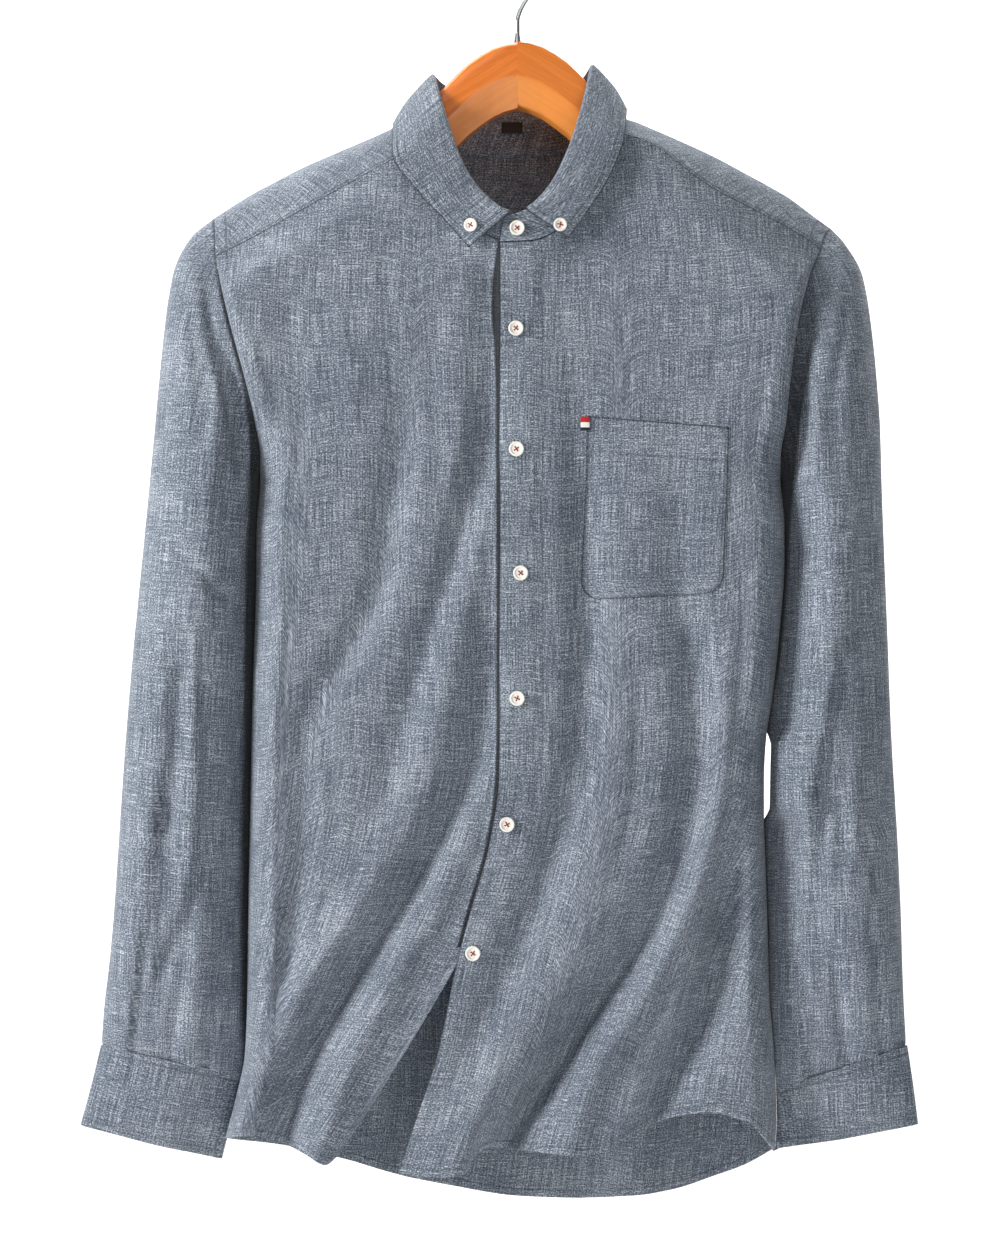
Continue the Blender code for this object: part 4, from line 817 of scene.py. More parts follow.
# %% Fine creases, as seen: how wide on either side, then x, drop and depth along each
CREASES = {
    "right_front": (
        (5, 8, ((-196, 262, 0), (-184, 300, 1.6), (-178, 350, 1.4), (-180, 410, 0))),
        (6, 4, ((-168, 226, 0), (-160, 290, 1.3), (-158, 350, 1.5), (-164, 430, 0))),
        (7, 6, ((-132, 200, 0), (-130, 260, -0.9), (-122, 320, -1.2), (-110, 380, 0))),
        (4, 6, ((-104, 190, 0), (-96, 250, 0.8), (-94, 300, 0.9), (-86, 350, 0))),
        (6, 8, ((-58, 250, 0), (-62, 310, 1.0), (-60, 370, 1.2), (-66, 430, 0))),
        (5, 5, ((-40, 330, 0), (-46, 380, -0.9), (-60, 440, -1.2), (-74, 500, 0))),
        (6, 4, ((-140, 560, 0), (-134, 620, 1.5), (-138, 690, 1.6), (-156, 750, 0))),
        (5, 5, ((-172, 450, 0), (-176, 530, -1.4), (-182, 610, -1.8), (-186, 700, 0))),
        (4, 6, ((-100, 690, 0), (-124, 740, 1.4), (-146, 790, 1.8), (-160, 850, 0))),
        (5, 5, ((-60, 560, 0), (-74, 610, 1.2), (-96, 660, 1.2), (-118, 700, 0))),
        (6, 5, ((-30, 250, 0), (-34, 300, 0.7), (-28, 360, 0.6), (-20, 400, 0))),
        (4, 4, ((-190, 720, 0), (-176, 745, 1.2), (-160, 760, 0.8), (-140, 768, 0))),
        # beside the placket, which pulls the cloth under it
        (13, 5, ((-17, 212, 3.0), (-18, 260, 5.0), (-19, 330, 2.6), (-18, 420, 1.8), (-18, 560, 1.6),
                 (-20, 607, 1.6), (-28, 658, 1.6), (-41, 700, 0.8))),
    ),
    "left_front": (
        (6, 6, ((30, 230, 0), (34, 280, 0.8), (40, 330, 0.9), (36, 400, 0))),
        (5, 7, ((84, 500, 0), (88, 560, 1.3), (84, 620, 1.5), (72, 680, 0))),
        (6, 5, ((24, 560, 0), (20, 620, -1.0), (6, 680, -1.5), (-16, 740, 0))),
        (5, 5, ((116, 740, 0), (96, 780, 1.5), (70, 820, 1.6), (40, 864, 0))),
        (4, 6, ((160, 430, 0), (165, 480, 1.3), (162, 540, 1.4), (158, 590, 0))),
        (6, 5, ((186, 290, 0), (178, 330, 1.6), (174, 380, 1.6), (178, 440, 0))),
        (5, 6, ((150, 214, 0), (152, 260, 1.0), (146, 300, 1.0), (140, 330, 0))),
        (5, 5, ((10, 770, 0), (-8, 815, 1.3), (-26, 865, 1.7), (-34, 900, 1.3))),
        (4, 5, ((156, 790, 0), (140, 824, 1.8), (124, 858, 2.0), (112, 900, 1.5))),
        (7, 7, ((-8, 240, 0), (-6, 270, 0.5), (-4, 300, 0.4), (-6, 330, 0))),
        (4, 4, ((176, 560, 0), (160, 580, 1.2), (142, 590, 1.0), (120, 592, 0))),
        (4, 4, ((186, 820, 0), (170, 828, 1.4), (152, 826, 1.0), (136, 818, 0))),
    ),
    "back": (
        (6, 6, ((-180, 280, 0), (-172, 340, 1.5), (-168, 420, 1.4), (-174, 500, 0))),
        (6, 6, ((180, 280, 0), (172, 350, 1.5), (166, 430, 1.2), (170, 520, 0))),
        (6, 7, ((-40, 290, 0), (-38, 380, 1.2), (-46, 470, 1.4), (-60, 560, 0))),
        (6, 6, ((36, 300, 0), (40, 390, 1.2), (38, 500, 1.3), (24, 590, 0))),
        (5, 6, ((-150, 560, 0), (-146, 640, 1.5), (-156, 730, 1.6), (-168, 800, 0))),
        (6, 5, ((120, 540, 0), (124, 620, 1.4), (118, 710, 1.6), (104, 800, 0))),
        (6, 6, ((0, 620, 0), (-12, 700, 1.3), (-30, 790, 1.6), (-44, 880, 1.2))),
        (5, 5, ((70, 680, 0), (62, 750, 1.4), (50, 830, 1.5), (44, 900, 1.2))),
        (8, 8, ((-110, 270, 0), (-118, 330, -0.8), (-120, 400, -0.9), (-116, 470, 0))),
        (5, 5, ((-20, 420, 0), (4, 436, 1.0), (30, 440, 0.8), (56, 432, 0))),
    ),
    "yoke": (
        (6, 8, ((-170, 166, 0), (-160, 176, 0.9), (-146, 184, 0.8), (-128, 186, 0))),
        (6, 8, ((168, 166, 0), (156, 176, 0.9), (140, 184, 0.9), (120, 180, 0))),
    ),
    "right_sleeve": (
        (6, 9, ((-252, 236, 0), (-240, 270, 1.8), (-232, 320, 2.0), (-236, 380, 0))),
        (5, 7, ((-222, 250, 0), (-218, 300, -1.4), (-222, 360, -1.4), (-232, 420, 0))),
        (6, 5, ((-262, 430, 0), (-244, 444, 2.4), (-222, 462, 2.6), (-200, 490, 0))),
        (5, 6, ((-270, 500, 0), (-256, 520, 2.2), (-236, 530, 2.4), (-214, 524, 0))),
        (6, 8, ((-244, 480, 0), (-248, 550, 2.6), (-254, 620, 2.8), (-262, 690, 0))),
        (5, 5, ((-214, 560, 0), (-222, 610, -1.8), (-232, 660, -2.0), (-246, 720, 0))),
        (5, 6, ((-288, 640, 0), (-272, 656, 2.2), (-250, 662, 2.0), (-224, 652, 0))),
        (4, 5, ((-270, 700, 0), (-274, 740, 2.0), (-278, 780, 2.0), (-282, 812, 1.2))),
        (4, 5, ((-236, 700, 0), (-244, 742, 2.2), (-250, 780, 2.2), (-254, 814, 1.4))),
        (4, 4, ((-214, 730, 0), (-220, 764, 1.6), (-226, 796, 1.8), (-228, 820, 1.2))),
        (4, 9, ((-232, 475, 0), (-230, 548, 3.0), (-226, 607, 4.0), (-232, 658, 4.0), (-243, 709, 3.4),
                (-261, 745, 2.0), (-269, 767, 0))),
        (4, 6, ((-262, 606, 0), (-260, 632, 3.6), (-267, 662, 0))),
        (6, 9, ((-230, 236, 0), (-222, 275, 3.4), (-212, 315, 4.6), (-204, 350, 4.6), (-200, 392, 0))),
    ),
    "left_sleeve": (
        (8, 6, ((250, 240, 0), (240, 276, 1.8), (232, 330, 1.8), (236, 390, 0))),
        (6, 6, ((218, 250, 0), (214, 300, -1.4), (220, 370, -1.4), (230, 430, 0))),
        (6, 5, ((262, 400, 0), (244, 420, 2.4), (222, 436, 2.4), (200, 440, 0))),
        (5, 6, ((268, 490, 0), (250, 500, 2.2), (232, 516, 2.4), (212, 540, 0))),
        (7, 6, ((250, 520, 0), (242, 580, 2.6), (236, 640, 2.8), (238, 700, 0))),
        (5, 5, ((214, 560, 0), (212, 620, -1.8), (216, 670, -2.0), (224, 720, 0))),
        (5, 6, ((276, 620, 0), (260, 640, 2.2), (238, 650, 2.0), (214, 640, 0))),
        (4, 5, ((258, 700, 0), (262, 740, 2.0), (264, 780, 2.0), (266, 806, 1.2))),
        (4, 5, ((228, 710, 0), (232, 750, 2.2), (236, 786, 2.2), (240, 814, 1.4))),
        (4, 4, ((208, 730, 0), (210, 770, 1.6), (212, 800, 1.8), (214, 820, 1.2))),
        (4, 9, ((255, 402, 0), (251, 475, 2.6), (239, 519, 3.6), (228, 577, 4.0), (222, 621, 4.0),
                (217, 694, 3.0), (222, 753, 0))),
        (9, 7, ((214, 262, 0), (210, 292, 4.0), (207, 322, 5.4), (204, 352, 5.0), (202, 392, 0))),
    ),
}


def crease_depth(creases, x, drop):
    """How far the creases push the cloth in at each x and drop."""
    depth = np.zeros(x.shape)
    for left, right, line in creases:
        line = along(line, np.linspace(0, 1, 13))
        nearest = np.full(x.shape, 1e9)
        push = np.zeros(x.shape)
        for a, b in zip(line, line[1:]):
            way_x, way_drop = b[0] - a[0], b[1] - a[1]
            share = ((x - a[0]) * way_x + (drop - a[1]) * way_drop) / (way_x**2 + way_drop**2)
            share = np.clip(share, 0, 1)
            off_x, off_drop = x - a[0] - share * way_x, drop - a[1] - share * way_drop
            off = np.hypot(off_x, off_drop)
            width = np.where(way_x * off_drop - way_drop * off_x > 0, left, right)
            closer = off < nearest
            nearest = np.where(closer, off, nearest)
            push = np.where(closer, (a[2] + (b[2] - a[2]) * share) * np.exp(-((off / width) ** 2)), push)
        depth += push
    return depth


print("creases:", sum(len(lines) for lines in CREASES.values()))

# %% [markdown]
# ## From a grid to cloth
#
# Real linen is about 0.5 mm thick, and a hem or cuff is several layers. The outer face is made
# first, with a UV map in metres of cloth, so the weave keeps its size through every fold, and a
# Solidify modifier then gives it its wall. A second attribute holds how far each point is from its
# panel's rows of stitches, and the material sinks the cloth there, and how far it is from a seam,
# an edge or a deep gap, where the material paints shade on the cloth.

# %% Press the creases in
def outward(grid, centre, closed=False):
    """Unit normals of a grid of real points, rows down and columns round, away from the centre."""
    down = np.gradient(grid, axis=0)
    if closed:
        across = np.roll(grid, -1, axis=1) - np.roll(grid, 1, axis=1)
    else:
        across = np.gradient(grid, axis=1)
    normal = unit(np.cross(across, down))
    if np.median(((grid - centre) * normal).sum(axis=-1)) < 0:
        normal *= -1
    return normal


def edge_distance(points, *edges):
    """Millimetres along the cloth to the nearest of these edges: top, bottom, first or last column."""
    nearest = None
    for edge in edges:
        axis = 0 if edge in ("top", "bottom") else 1
        step = np.linalg.norm(np.diff(points, axis=axis), axis=-1)
        way = np.pad(np.cumsum(step, axis=axis), ((1, 0), (0, 0)) if axis == 0 else ((0, 0), (1, 0)))
        if edge == "bottom":
            way = way[-1:] - way
        if edge == "last":
            way = way[:, -1:] - way
        nearest = way if nearest is None else np.minimum(nearest, way)
    return nearest


MIDDLES = {
    # a point inside the shirt, behind each panel's cloth
    "right_front": (0, 0, -450), "left_front": (0, 0, -450), "back": (0, 0, -450), "yoke": (0, 0, -350),
}
CREASE_FADE = 14.0  # a crease fades out this far from a seam
SLEEVE_CREASES = 1.6  # the sleeves' creases are this much deeper in front than behind
FACING = 0.5  # and fade where the cloth turns to the side, from this share of its normal
outs = {}
for name, points in panels.items():
    tube = name.endswith("sleeve")
    centre = points.mean(axis=1, keepdims=True) if tube else MIDDLES[name]
    out = outward(points, centre, tube)
    fade = ease(edge_distance(points, "top", *(() if tube else ("first", "last"))) / CREASE_FADE)
    push = crease_depth(CREASES[name], *seen(points)) * fade
    if tube:
        push *= np.where(out[..., 1] < 0, SLEEVE_CREASES, 1.0) * ease(np.abs(out[..., 1]) / FACING)
    panels[name] = points - out * push[..., None]
    outs[name] = outward(panels[name], centre, tube)
    print(name, "is pushed by up to", round(float(np.abs(push).max()), 1), "mm")


# %% The cloth maker
FAR = 200.0  # no stitching and no painted shade near
SHADE_REACH = 1.6  # a seam or an edge gets painted shade up to this far from it
EVEN = 9  # steps on each side
BOLT = (0.61, 0.37)  # metres across and down from where one piece is cut to where the next one is
cloths = {}


def new_object(name, data):
    """Put a mesh or a curve into the scene."""
    item = bpy.data.objects.new(name, data)
    bpy.context.scene.collection.objects.link(item)
    return item


def grid_faces(rows, columns):
    """The faces of a grid whose points are numbered in reading order."""
    corner = np.arange(rows - 1)[:, None] * columns + np.arange(columns - 1)
    return np.stack([corner, corner + columns, corner + columns + 1, corner + 1], axis=-1).reshape(-1, 4)


def even(steps, axis):
    """Each length averaged with its neighbours along the axis, so that a crease doesn't bend the weave."""
    rows = np.moveaxis(steps, axis, 0)
    rows = np.concatenate([rows[:1]] * EVEN + [rows] + [rows[-1:]] * EVEN)
    total = np.cumsum(np.concatenate([0 * rows[:1], rows]), axis=0)
    return np.moveaxis((total[2 * EVEN + 1 :] - total[: -2 * EVEN - 1]) / (2 * EVEN + 1), 0, axis)


def round_tube(points, level):
    """Cloth from the front's middle to each point round a tube, read off the oval it has at that level.
    Above the underarm the oval keeps its size and follows the sleeve's outer edge."""
    whole = np.ptp(level, axis=1) < 45
    high, low = points[..., :2].max(axis=1), points[..., :2].min(axis=1)
    sizes = ((high - low)[:, 0] / 2, (high - low)[:, 1] / 2, (high + low)[:, 1] / 2)
    wide, deep, middle = (np.interp(level, level.mean(axis=1)[whole], size[whole]) for size in sizes)
    side = np.sign(points[..., 0].mean())
    outer = int(np.argmax(side * points[-1, :, 0]))
    edge = np.interp(level, level[:, outer], points[:, outer, 0])
    angle = np.arctan2((points[..., 1] - middle) / deep, side * (points[..., 0] - edge) / wide + 1)
    angle = np.unwrap(angle, axis=1)
    angle -= 2 * math.pi * np.round(angle[:, angle.shape[1] // 2] / (2 * math.pi))[:, None]
    turns = np.linspace(-5, 5, 1001)
    steps = np.hypot(wide.mean() * np.sin(turns), deep.mean() * np.cos(turns)) * (turns[1] - turns[0])
    arc = np.cumsum(steps)
    arc -= np.interp(-math.pi / 2, turns, arc)
    return np.interp(angle, turns, arc) * wide / wide.mean()


def cloth_uv(points, tube, origin, band):
    """Metres of cloth across and down at each point, from where its piece is cut off the bolt. The
    warp runs down a panel's columns, along a tube's axis, and across a band."""
    across, down = np.diff(points, axis=1), np.diff(points, axis=0)
    v = np.pad(np.cumsum(even(np.linalg.norm(down, axis=-1), 1), axis=0), ((1, 0), (0, 0)))
    if tube:
        v = points @ unit(points[-1].mean(axis=0) - points[0].mean(axis=0))
        return np.stack([round_tube(points, v), -v], axis=-1) * MM + origin
    if not band:
        across = across[..., :2]
        v = v - points[:1, :, 2]
    u = np.pad(np.cumsum(even(np.linalg.norm(across, axis=-1), 0), axis=1), ((0, 0), (1, 0)))
    return np.stack([u, -v], axis=-1) * MM + origin


def drawn_in(points, closed=False):
    """The grid with each of its free edges moved half a gap in along the cloth."""
    out = points.copy()

    def towards(edge, inner):
        return edge + GAP / 2 * unit(inner - edge)

    out[0], out[-1] = towards(points[0], points[1]), towards(points[-1], points[-2])
    if not closed:
        out[:, 0] = towards(out[:, 0], out[:, 1])
        out[:, -1] = towards(out[:, -1], out[:, -2])
    return out


def make_cloth(name, points, middle, thick=WALL, closed=False, lines=(), shade=FAR, draw_in=True, grain=0):
    """A wall of cloth from the grid of its outer face, whose other side faces the middle. Each of the
    two lines is an array of the points' distances in millimetres from a row of stitches, and shade is
    their distances from a seam, an edge or a deep gap, where the material paints shade. The weave is
    straight along the column grain."""
    if draw_in:
        points = drawn_in(points, closed)
    marks = np.full(points.shape, FAR)
    for axis, line in enumerate(lines):
        marks[..., axis] = line
    marks[..., 2] = shade
    if closed:
        points, marks = (np.concatenate([part, part[:, :1]], axis=1) for part in (points, marks))
    faces = grid_faces(*points.shape[:2])
    mesh = bpy.data.meshes.new(f"{name}_cloth")
    mesh.from_pydata((points.reshape(-1, 3) * MM).tolist(), [], faces.tolist())
    uv = cloth_uv(points, closed, np.array(BOLT) * len(cloths), name.startswith("collar"))
    if not closed:
        uv[..., 0] -= uv[:, grain : grain + 1, 0] - uv[:1, grain : grain + 1, 0]
    mesh.uv_layers.new(name="UVMap").data.foreach_set("uv", uv.reshape(-1, 2)[faces.ravel()].ravel())
    stitch_and_shade_marks = mesh.attributes.new(name="stitches_and_painted_shade", type="FLOAT_VECTOR", domain="POINT")
    stitch_and_shade_marks.data.foreach_set("vector", marks.ravel() * MM)
    item = new_object(f"{name}_cloth", mesh)
    work = bmesh.new()
    work.from_mesh(mesh)
    if closed:
        bmesh.ops.remove_doubles(work, verts=work.verts, dist=0.00001)
    towards = sum(
        (face.calc_center_median() - Vector(middle) * MM).dot(face.normal) * face.calc_area()
        for face in work.faces
    )
    if towards < 0:
        bmesh.ops.reverse_faces(work, faces=work.faces)
    work.to_mesh(mesh)
    work.free()
    item.select_set(True)
    bpy.context.view_layer.objects.active = item
    solid = item.modifiers.new("wall", "SOLIDIFY")
    solid.thickness = thick * MM
    solid.offset = -1
    bpy.ops.object.modifier_apply(modifier="wall")
    bpy.ops.object.shade_smooth_by_angle(angle=math.radians(50))
    item.select_set(False)
    area = sum(face.area for face in item.data.polygons) / 2
    print(f"{name}: {len(item.data.polygons)} faces, {area:.3f} m2 of cloth")
    cloths[name] = item


# %% Fronts, back and yoke
HEM_STITCH, EDGE_STITCH, ARM_STITCH, SEAM_STITCH = 6.0, 5.5, 10.0, 2.5
PLACKET_STITCH, POCKET_STITCH = 1.8, 2.0
# Millimetres added to the distances from a seam, so that its painted shade isn't full.
PANEL_SHADE, SLEEVE_SHADE, PLACKET_SHADE, CUFF_SHADE = 0.7, 0.6, 0.6, 0.9
NAPE_COLUMN = BACK_COLUMNS["roll"] + BACK_COLUMNS["flat"] // 2  # the middle one of the back and the yoke
ARM_EDGES = {"right_front": ("last",), "left_front": ("last",), "back": ("first", "last")}
LAP_SHADE = (
    # drop, half the width of the painted deep shade under the placket's free edge
    (210, 0.4), (226, 1.4), (240, 2.4), (262, 2.8), (290, 1.8), (330, 1.2), (560, 1.0), (740, 1.0),
)
LAP_SHADE_END = 730


def arm_end(name):
    """The number of a body panel's rows down to the underarm, with both ends."""
    return arm_rows("back" if name == "back" else "front") + 1


for name, edges in ARM_EDGES.items():
    points, arm = panels[name], edge_distance(panels[name], *edges)
    arm[arm_end(name) :] = FAR
    lines = [edge_distance(points, "bottom") - HEM_STITCH, arm - ARM_STITCH]
    shade = np.minimum(arm, edge_distance(points, "top")) + PANEL_SHADE
    if name == "right_front":
        # painted deep shade in the gap under the placket's free edge
        x, drop = seen(points)
        half = smooth(LAP_SHADE, drop)
        off = np.abs(x + half - smooth(EDGE[LEFT], drop)) - half
        shade = np.minimum(shade, np.where(drop < LAP_SHADE_END, off, FAR))
    grain = NAPE_COLUMN if name == "back" else 0
    make_cloth(name, points, MIDDLES[name], lines=lines, shade=shade, grain=grain)
yoke = panels["yoke"]
lines = [
    edge_distance(yoke, "top", "bottom") - SEAM_STITCH, edge_distance(yoke, "first", "last") - ARM_STITCH
]
shade = edge_distance(yoke, "top", "bottom", "first", "last") + PANEL_SHADE
make_cloth("yoke", yoke, MIDDLES["yoke"], lines=lines, shade=shade, grain=NAPE_COLUMN)

# %% [markdown]
# ## Sleeves and cuffs
#
# A sleeve is a tube that is pleated into its cuff. The cuff is two cloths with an interlining, so it
# is stiffer, holds a smooth oval, and stands a little proud of the sleeve it is sewn over.

# %% Make the sleeves and the cuffs
CUFF_WALL = 1.8
CUFF_TURNS, CUFF_STEPS = 120, 13
CLEAR = 0.3  # between a sleeve and the body's side
HANGS_FREE = 396  # the drop below which a sleeve hangs free of the body
NARROWER, NARROW_OVER = 2.0, 10.0  # how much narrower the sleeve gets inside its cuff, and over how much
CUFF_SEAM = 8.0  # the cuff's seam is this far above the sleeve's end
DEEPEST = 0.9  # of the crevice's painted shade
body_sides = [
    BVHTree.FromPolygons(panels[name].reshape(-1, 3).tolist(), grid_faces(*panels[name].shape[:2]).tolist())
    for name in ARM_EDGES
]


def stand_clear(points, side):
    """Push a tube's points away from the body, along X, where they would lie in its cloth."""
    moved = points.reshape(-1, 3).copy()
    pushed = 0.0
    for spot, drop in zip(moved, seen(points)[1].ravel()):
        hits = [tree.ray_cast((side * 600, spot[1], spot[2]), (-side, 0, 0))[0] for tree in body_sides]
        limit = max((side * hit.x for hit in hits if hit), default=-FAR) + CLEAR
        push = max(0.0, limit - side * spot[0]) * float(ease((drop - HANGS_FREE) / 20))
        spot[0] += side * push
        pushed = max(pushed, push)
    print("a tube is pushed clear by up to", round(pushed, 1), "mm")
    return moved.reshape(points.shape)


CREVICE = {
    # drop, x where the painted deep shade between a sleeve and the body ends, how softly, how dark
    RIGHT: (
        (220, -221, 3, 0), (229, -222, 2.5, 0.6), (245, -220, 2.5, 0.85), (270, -215, 2.5, 0.88),
        (299, -207.5, 2.5, 0.88), (339, -199, 2.5, 0.88), (364, -197, 2.5, 0.88), (402, -198, 3, 0.88),
        (446, -200, 3, 0.86), (548, -202, 4, 0.8), (658, -205, 6, 0.8), (767, -205, 6, 0.75),
        (811, -203, 5, 0.5), (840, -202, 5, 0),
    ),
    LEFT: (
        (218, 224, 8, 0), (249, 222, 10, 0.45), (274, 223, 6, 0.5), (300, 216, 4, 0.7), (320, 212, 3, 0.8),
        (349, 208, 3, 0.88), (378, 205, 3, 0.88), (415, 201, 3, 0.88), (457, 198.6, 3, 0.86),
        (512, 194, 3, 0.8), (556, 190, 3, 0), (900, 190, 3, 0),
    ),
}


def crevice_shade(points, side):
    """How dark the painted shade of the deep gap beside the body is on a sleeve, as a distance in mm."""
    x, drop = seen(points)
    edge, soft, dark = np.moveaxis(smooth(CREVICE[side], drop), -1, 0)
    inside = (edge - x) * np.sign(edge) / soft
    return SHADE_REACH * (1 - np.clip(dark, 0, DEEPEST) / DEEPEST * ease(inside))


cuffs = {}
underarm = (len(YOKE_FRONT) - 1) * FINER["yoke"] + arm_rows("front")
turns = (np.linspace(0, 1, CUFF_TURNS, endpoint=False) + 0.5) % 1
for word, side in (("right", RIGHT), ("left", LEFT)):
    sleeve = np.roll(panels[f"{word}_sleeve"], -underarm, axis=1)  # the tube's seam is under the arm
    centre = sleeve.mean(axis=1, keepdims=True)
    tuck = NARROWER * ease(1 - edge_distance(sleeve, "bottom") / NARROW_OVER)
    sleeve += unit(centre - sleeve) * (1, 1, 0) * tuck[..., None]
    sleeve = stand_clear(sleeve, side)
    # Painted shade along the armhole and cuff seams, and dark painted shade in the crevice beside the body.
    shade = np.minimum(edge_distance(sleeve, "top"), np.abs(edge_distance(sleeve, "bottom") - CUFF_SEAM))
    shade = np.minimum(shade + SLEEVE_SHADE, crevice_shade(sleeve, side))
    make_cloth(f"{word}_sleeve", sleeve, sleeve.mean(axis=(0, 1)), closed=True, shade=shade)
    cuff = finer(np.array([place(sleeve_ring(row, turns)) for row in CUFF[side]]), CUFF_STEPS)
    cuff = stand_clear(lean_in(cuff, side), side)
    cuffs[side] = cuff
    lines = [edge_distance(cuff, "bottom", "top") - EDGE_STITCH]
    shade = edge_distance(cuff, "top") + CUFF_SHADE
    make_cloth(
        f"{word}_cuff", cuff, cuff.mean(axis=(0, 1)), thick=CUFF_WALL, closed=True, lines=lines, shade=shade
    )


# %% [markdown]
# ## Placket and pocket
#
# The placket is folded from the front's own edge, and the pocket is a patch, so both follow every
# fold of the cloth under them. Each is made of the left front's points, moved out: the placket lies
# full at its free edge and nearly flush along its stitches.

# %% Make the placket
PLACKET_WALL = 0.9
PLACKET_OUT, PLACKET_SEWN, PLACKET_SLOPE = 1.3, 0.25, 9.0  # how far out: free, sewn, and over how much

strip = slice(1, None), slice(0, FRONT_COLUMNS[LEFT][0] + 1)  # its first row is under the collar
placket = panels["left_front"][strip]
lift = PLACKET_SEWN + (PLACKET_OUT - PLACKET_SEWN) * ease(edge_distance(placket, "last") / PLACKET_SLOPE)
placket = placket + outs["left_front"][strip] * lift[..., None]
make_cloth(
    "placket", placket, MIDDLES["left_front"], thick=PLACKET_WALL, draw_in=False,
    lines=[edge_distance(placket, "bottom") - HEM_STITCH],
    shade=edge_distance(placket, "first") + PLACKET_SHADE,
)

# %% Make the pocket
POCKET = (
    # drop at the pocket's middle, x of its near side, x of its far side
    (341, 51.1, 154), (380, 50, 153.2), (440, 47, 150.8), (476, 45.3, 148.9),
)
POCKET_EDGES = (344.9, 472.6)  # drops of its top and bottom, at its middle
POCKET_TILT = (8.0, -5.0)  # how much lower its far corners lie, at the top and at the bottom
POCKET_CORNER = 14.0
POCKET_SIDE = 190.0  # x of the left side beside it
POCKET_NEAR, POCKET_ACROSS = 50.0, 100.0
POCKET_WALL, POCKET_OUT, POCKET_HEM = 0.7, 0.95, 25.0
POCKET_GRID = (64, 56)  # rows, columns


def front_point(x, drop):
    """A point of the left front as seen, anywhere between the placket and the roll."""
    return np.stack([x, front_y(x, drop, POCKET_SIDE - x) - lap(x, drop), drop], axis=-1)


def pocket_grid(rows, columns):
    """The pocket as seen: straight at its top, with its two lower corners rounded."""
    top, bottom = POCKET_EDGES
    down = np.linspace(0, 1, rows)
    down = down * (1.35 - 0.35 * down**2)
    drops = top + (bottom - top) * down
    over = np.clip(POCKET_CORNER - (bottom - drops), 0, POCKET_CORNER)
    cut = POCKET_CORNER - np.sqrt(np.maximum(POCKET_CORNER**2 - over**2, 0))
    sides = smooth(POCKET, drops)
    near, far = sides[:, 0] + cut, sides[:, 1] - cut
    share = np.linspace(0, 1, columns)
    x = near[:, None] + (far - near)[:, None] * share
    tilt = POCKET_TILT[0] + (POCKET_TILT[1] - POCKET_TILT[0]) * down[:, None]
    return x, drops[:, None] + tilt * ((x - POCKET_NEAR) / POCKET_ACROSS - 0.5)


x, drop = pocket_grid(*POCKET_GRID)
pocket = place(front_point(x, drop))
lift = POCKET_OUT - crease_depth(CREASES["left_front"], x, drop)
pocket = pocket + outward(pocket, MIDDLES["left_front"]) * lift[..., None]
sewn, hem = edge_distance(pocket, "first", "last", "bottom"), edge_distance(pocket, "top")
make_cloth(
    "pocket", pocket, MIDDLES["left_front"], thick=POCKET_WALL, draw_in=False,
    lines=[sewn - POCKET_STITCH, hem - POCKET_HEM], shade=np.minimum(sewn, hem),
)

# %% [markdown]
# ## The collar
#
# The stand rises from the neck seam, and the leaf is sewn to its top and folds down over it. The
# fold is soft: the leaf rises over the stand's edge, rolls outward and falls to its points.

# %% Make the stand and the leaf
STAND_SHARES = np.linspace(0.035, 1.0, 14)  # of the way from the neck's seam to the fold
# The leaf's section, row by row: its share of the way from the fold to the edge, how far away from
# the neck, in millimetres and as a share of how far the leaf stands out, and how far up.
ROLL_OVER = (
    (0, -1.0, 0, 0.5), (0, 0, 0.35, 1.9), (0, 0, 1, 0.4), (0.12, 1.5, 1, -0.4), (0.55, 1.1, 1, 0),
)


def collar_grids():
    """The stand's and the leaf's outer faces, as seen."""
    last = len(NECK) - 1
    seam, fold = (neck_curve(kind, 0, last, STAND_COLUMNS) for kind in ("seam", "fold"))
    shares = STAND_SHARES[:, None, None]
    stand = seam * (1 - shares) + fold * shares
    first, end = neck_row(LEAF[0][0]), neck_row(LEAF[-1][0])
    top = neck_curve("fold", first, end, LEAF_COLUMNS)
    way = distances(np.array([row[1:4] for row in NECK], float))[first : end + 1]
    edge_rows = np.column_stack([way, np.array([row[1:] for row in LEAF], float)])
    read = smooth(edge_rows, np.linspace(way[0], way[-1], LEAF_COLUMNS))
    edge, off = read[:, :3], read[:, 3:]
    away = unit(np.column_stack([top[:, 0] * 0.8, top[:, 1] * 1.1, np.zeros(len(top))]))
    up = np.array([0, 0, -1.0])
    lines = [
        top + (edge - top) * down + away * (off * share + out) + up * rise
        for down, out, share, rise in ROLL_OVER
    ]
    lines = np.array([*lines, edge])
    shares = np.linspace(0, 1, LEAF_ROWS + 1) ** 1.2
    return stand, np.stack([along(lines[:, column], shares) for column in range(LEAF_COLUMNS)], axis=1)


stand, leaf = (place(grid) for grid in collar_grids())
collar_middle = (0.0, 0.0, float(stand[..., 2].mean()))
make_cloth("collar_stand", stand, collar_middle, draw_in=False)
shade = edge_distance(leaf, "bottom", "first", "last")
make_cloth("collar_leaf", leaf, collar_middle, lines=[shade - EDGE_STITCH], shade=shade, draw_in=False)

# %% [markdown]
# ## Stitches
#
# The groove of a seam is in the material, as a dent with painted shade in it, and the thread that
# makes it is modelled. Each stitch is a tiny spindle in the groove, 2.2 mm long, at about eight to
# the inch. There are well over a thousand, so each has only eight faces.

# %% A row of stitches
STITCH, STITCH_STEP, STITCH_WIDE = 2.2, 3.1, 0.42
LIFT = 0.12  # the thread lies this far over the cloth's face
SPINDLE = ((0, 2, 4), (0, 4, 3), (1, 4, 2), (1, 3, 4), (0, 5, 2), (0, 3, 5), (1, 2, 5), (1, 5, 3))


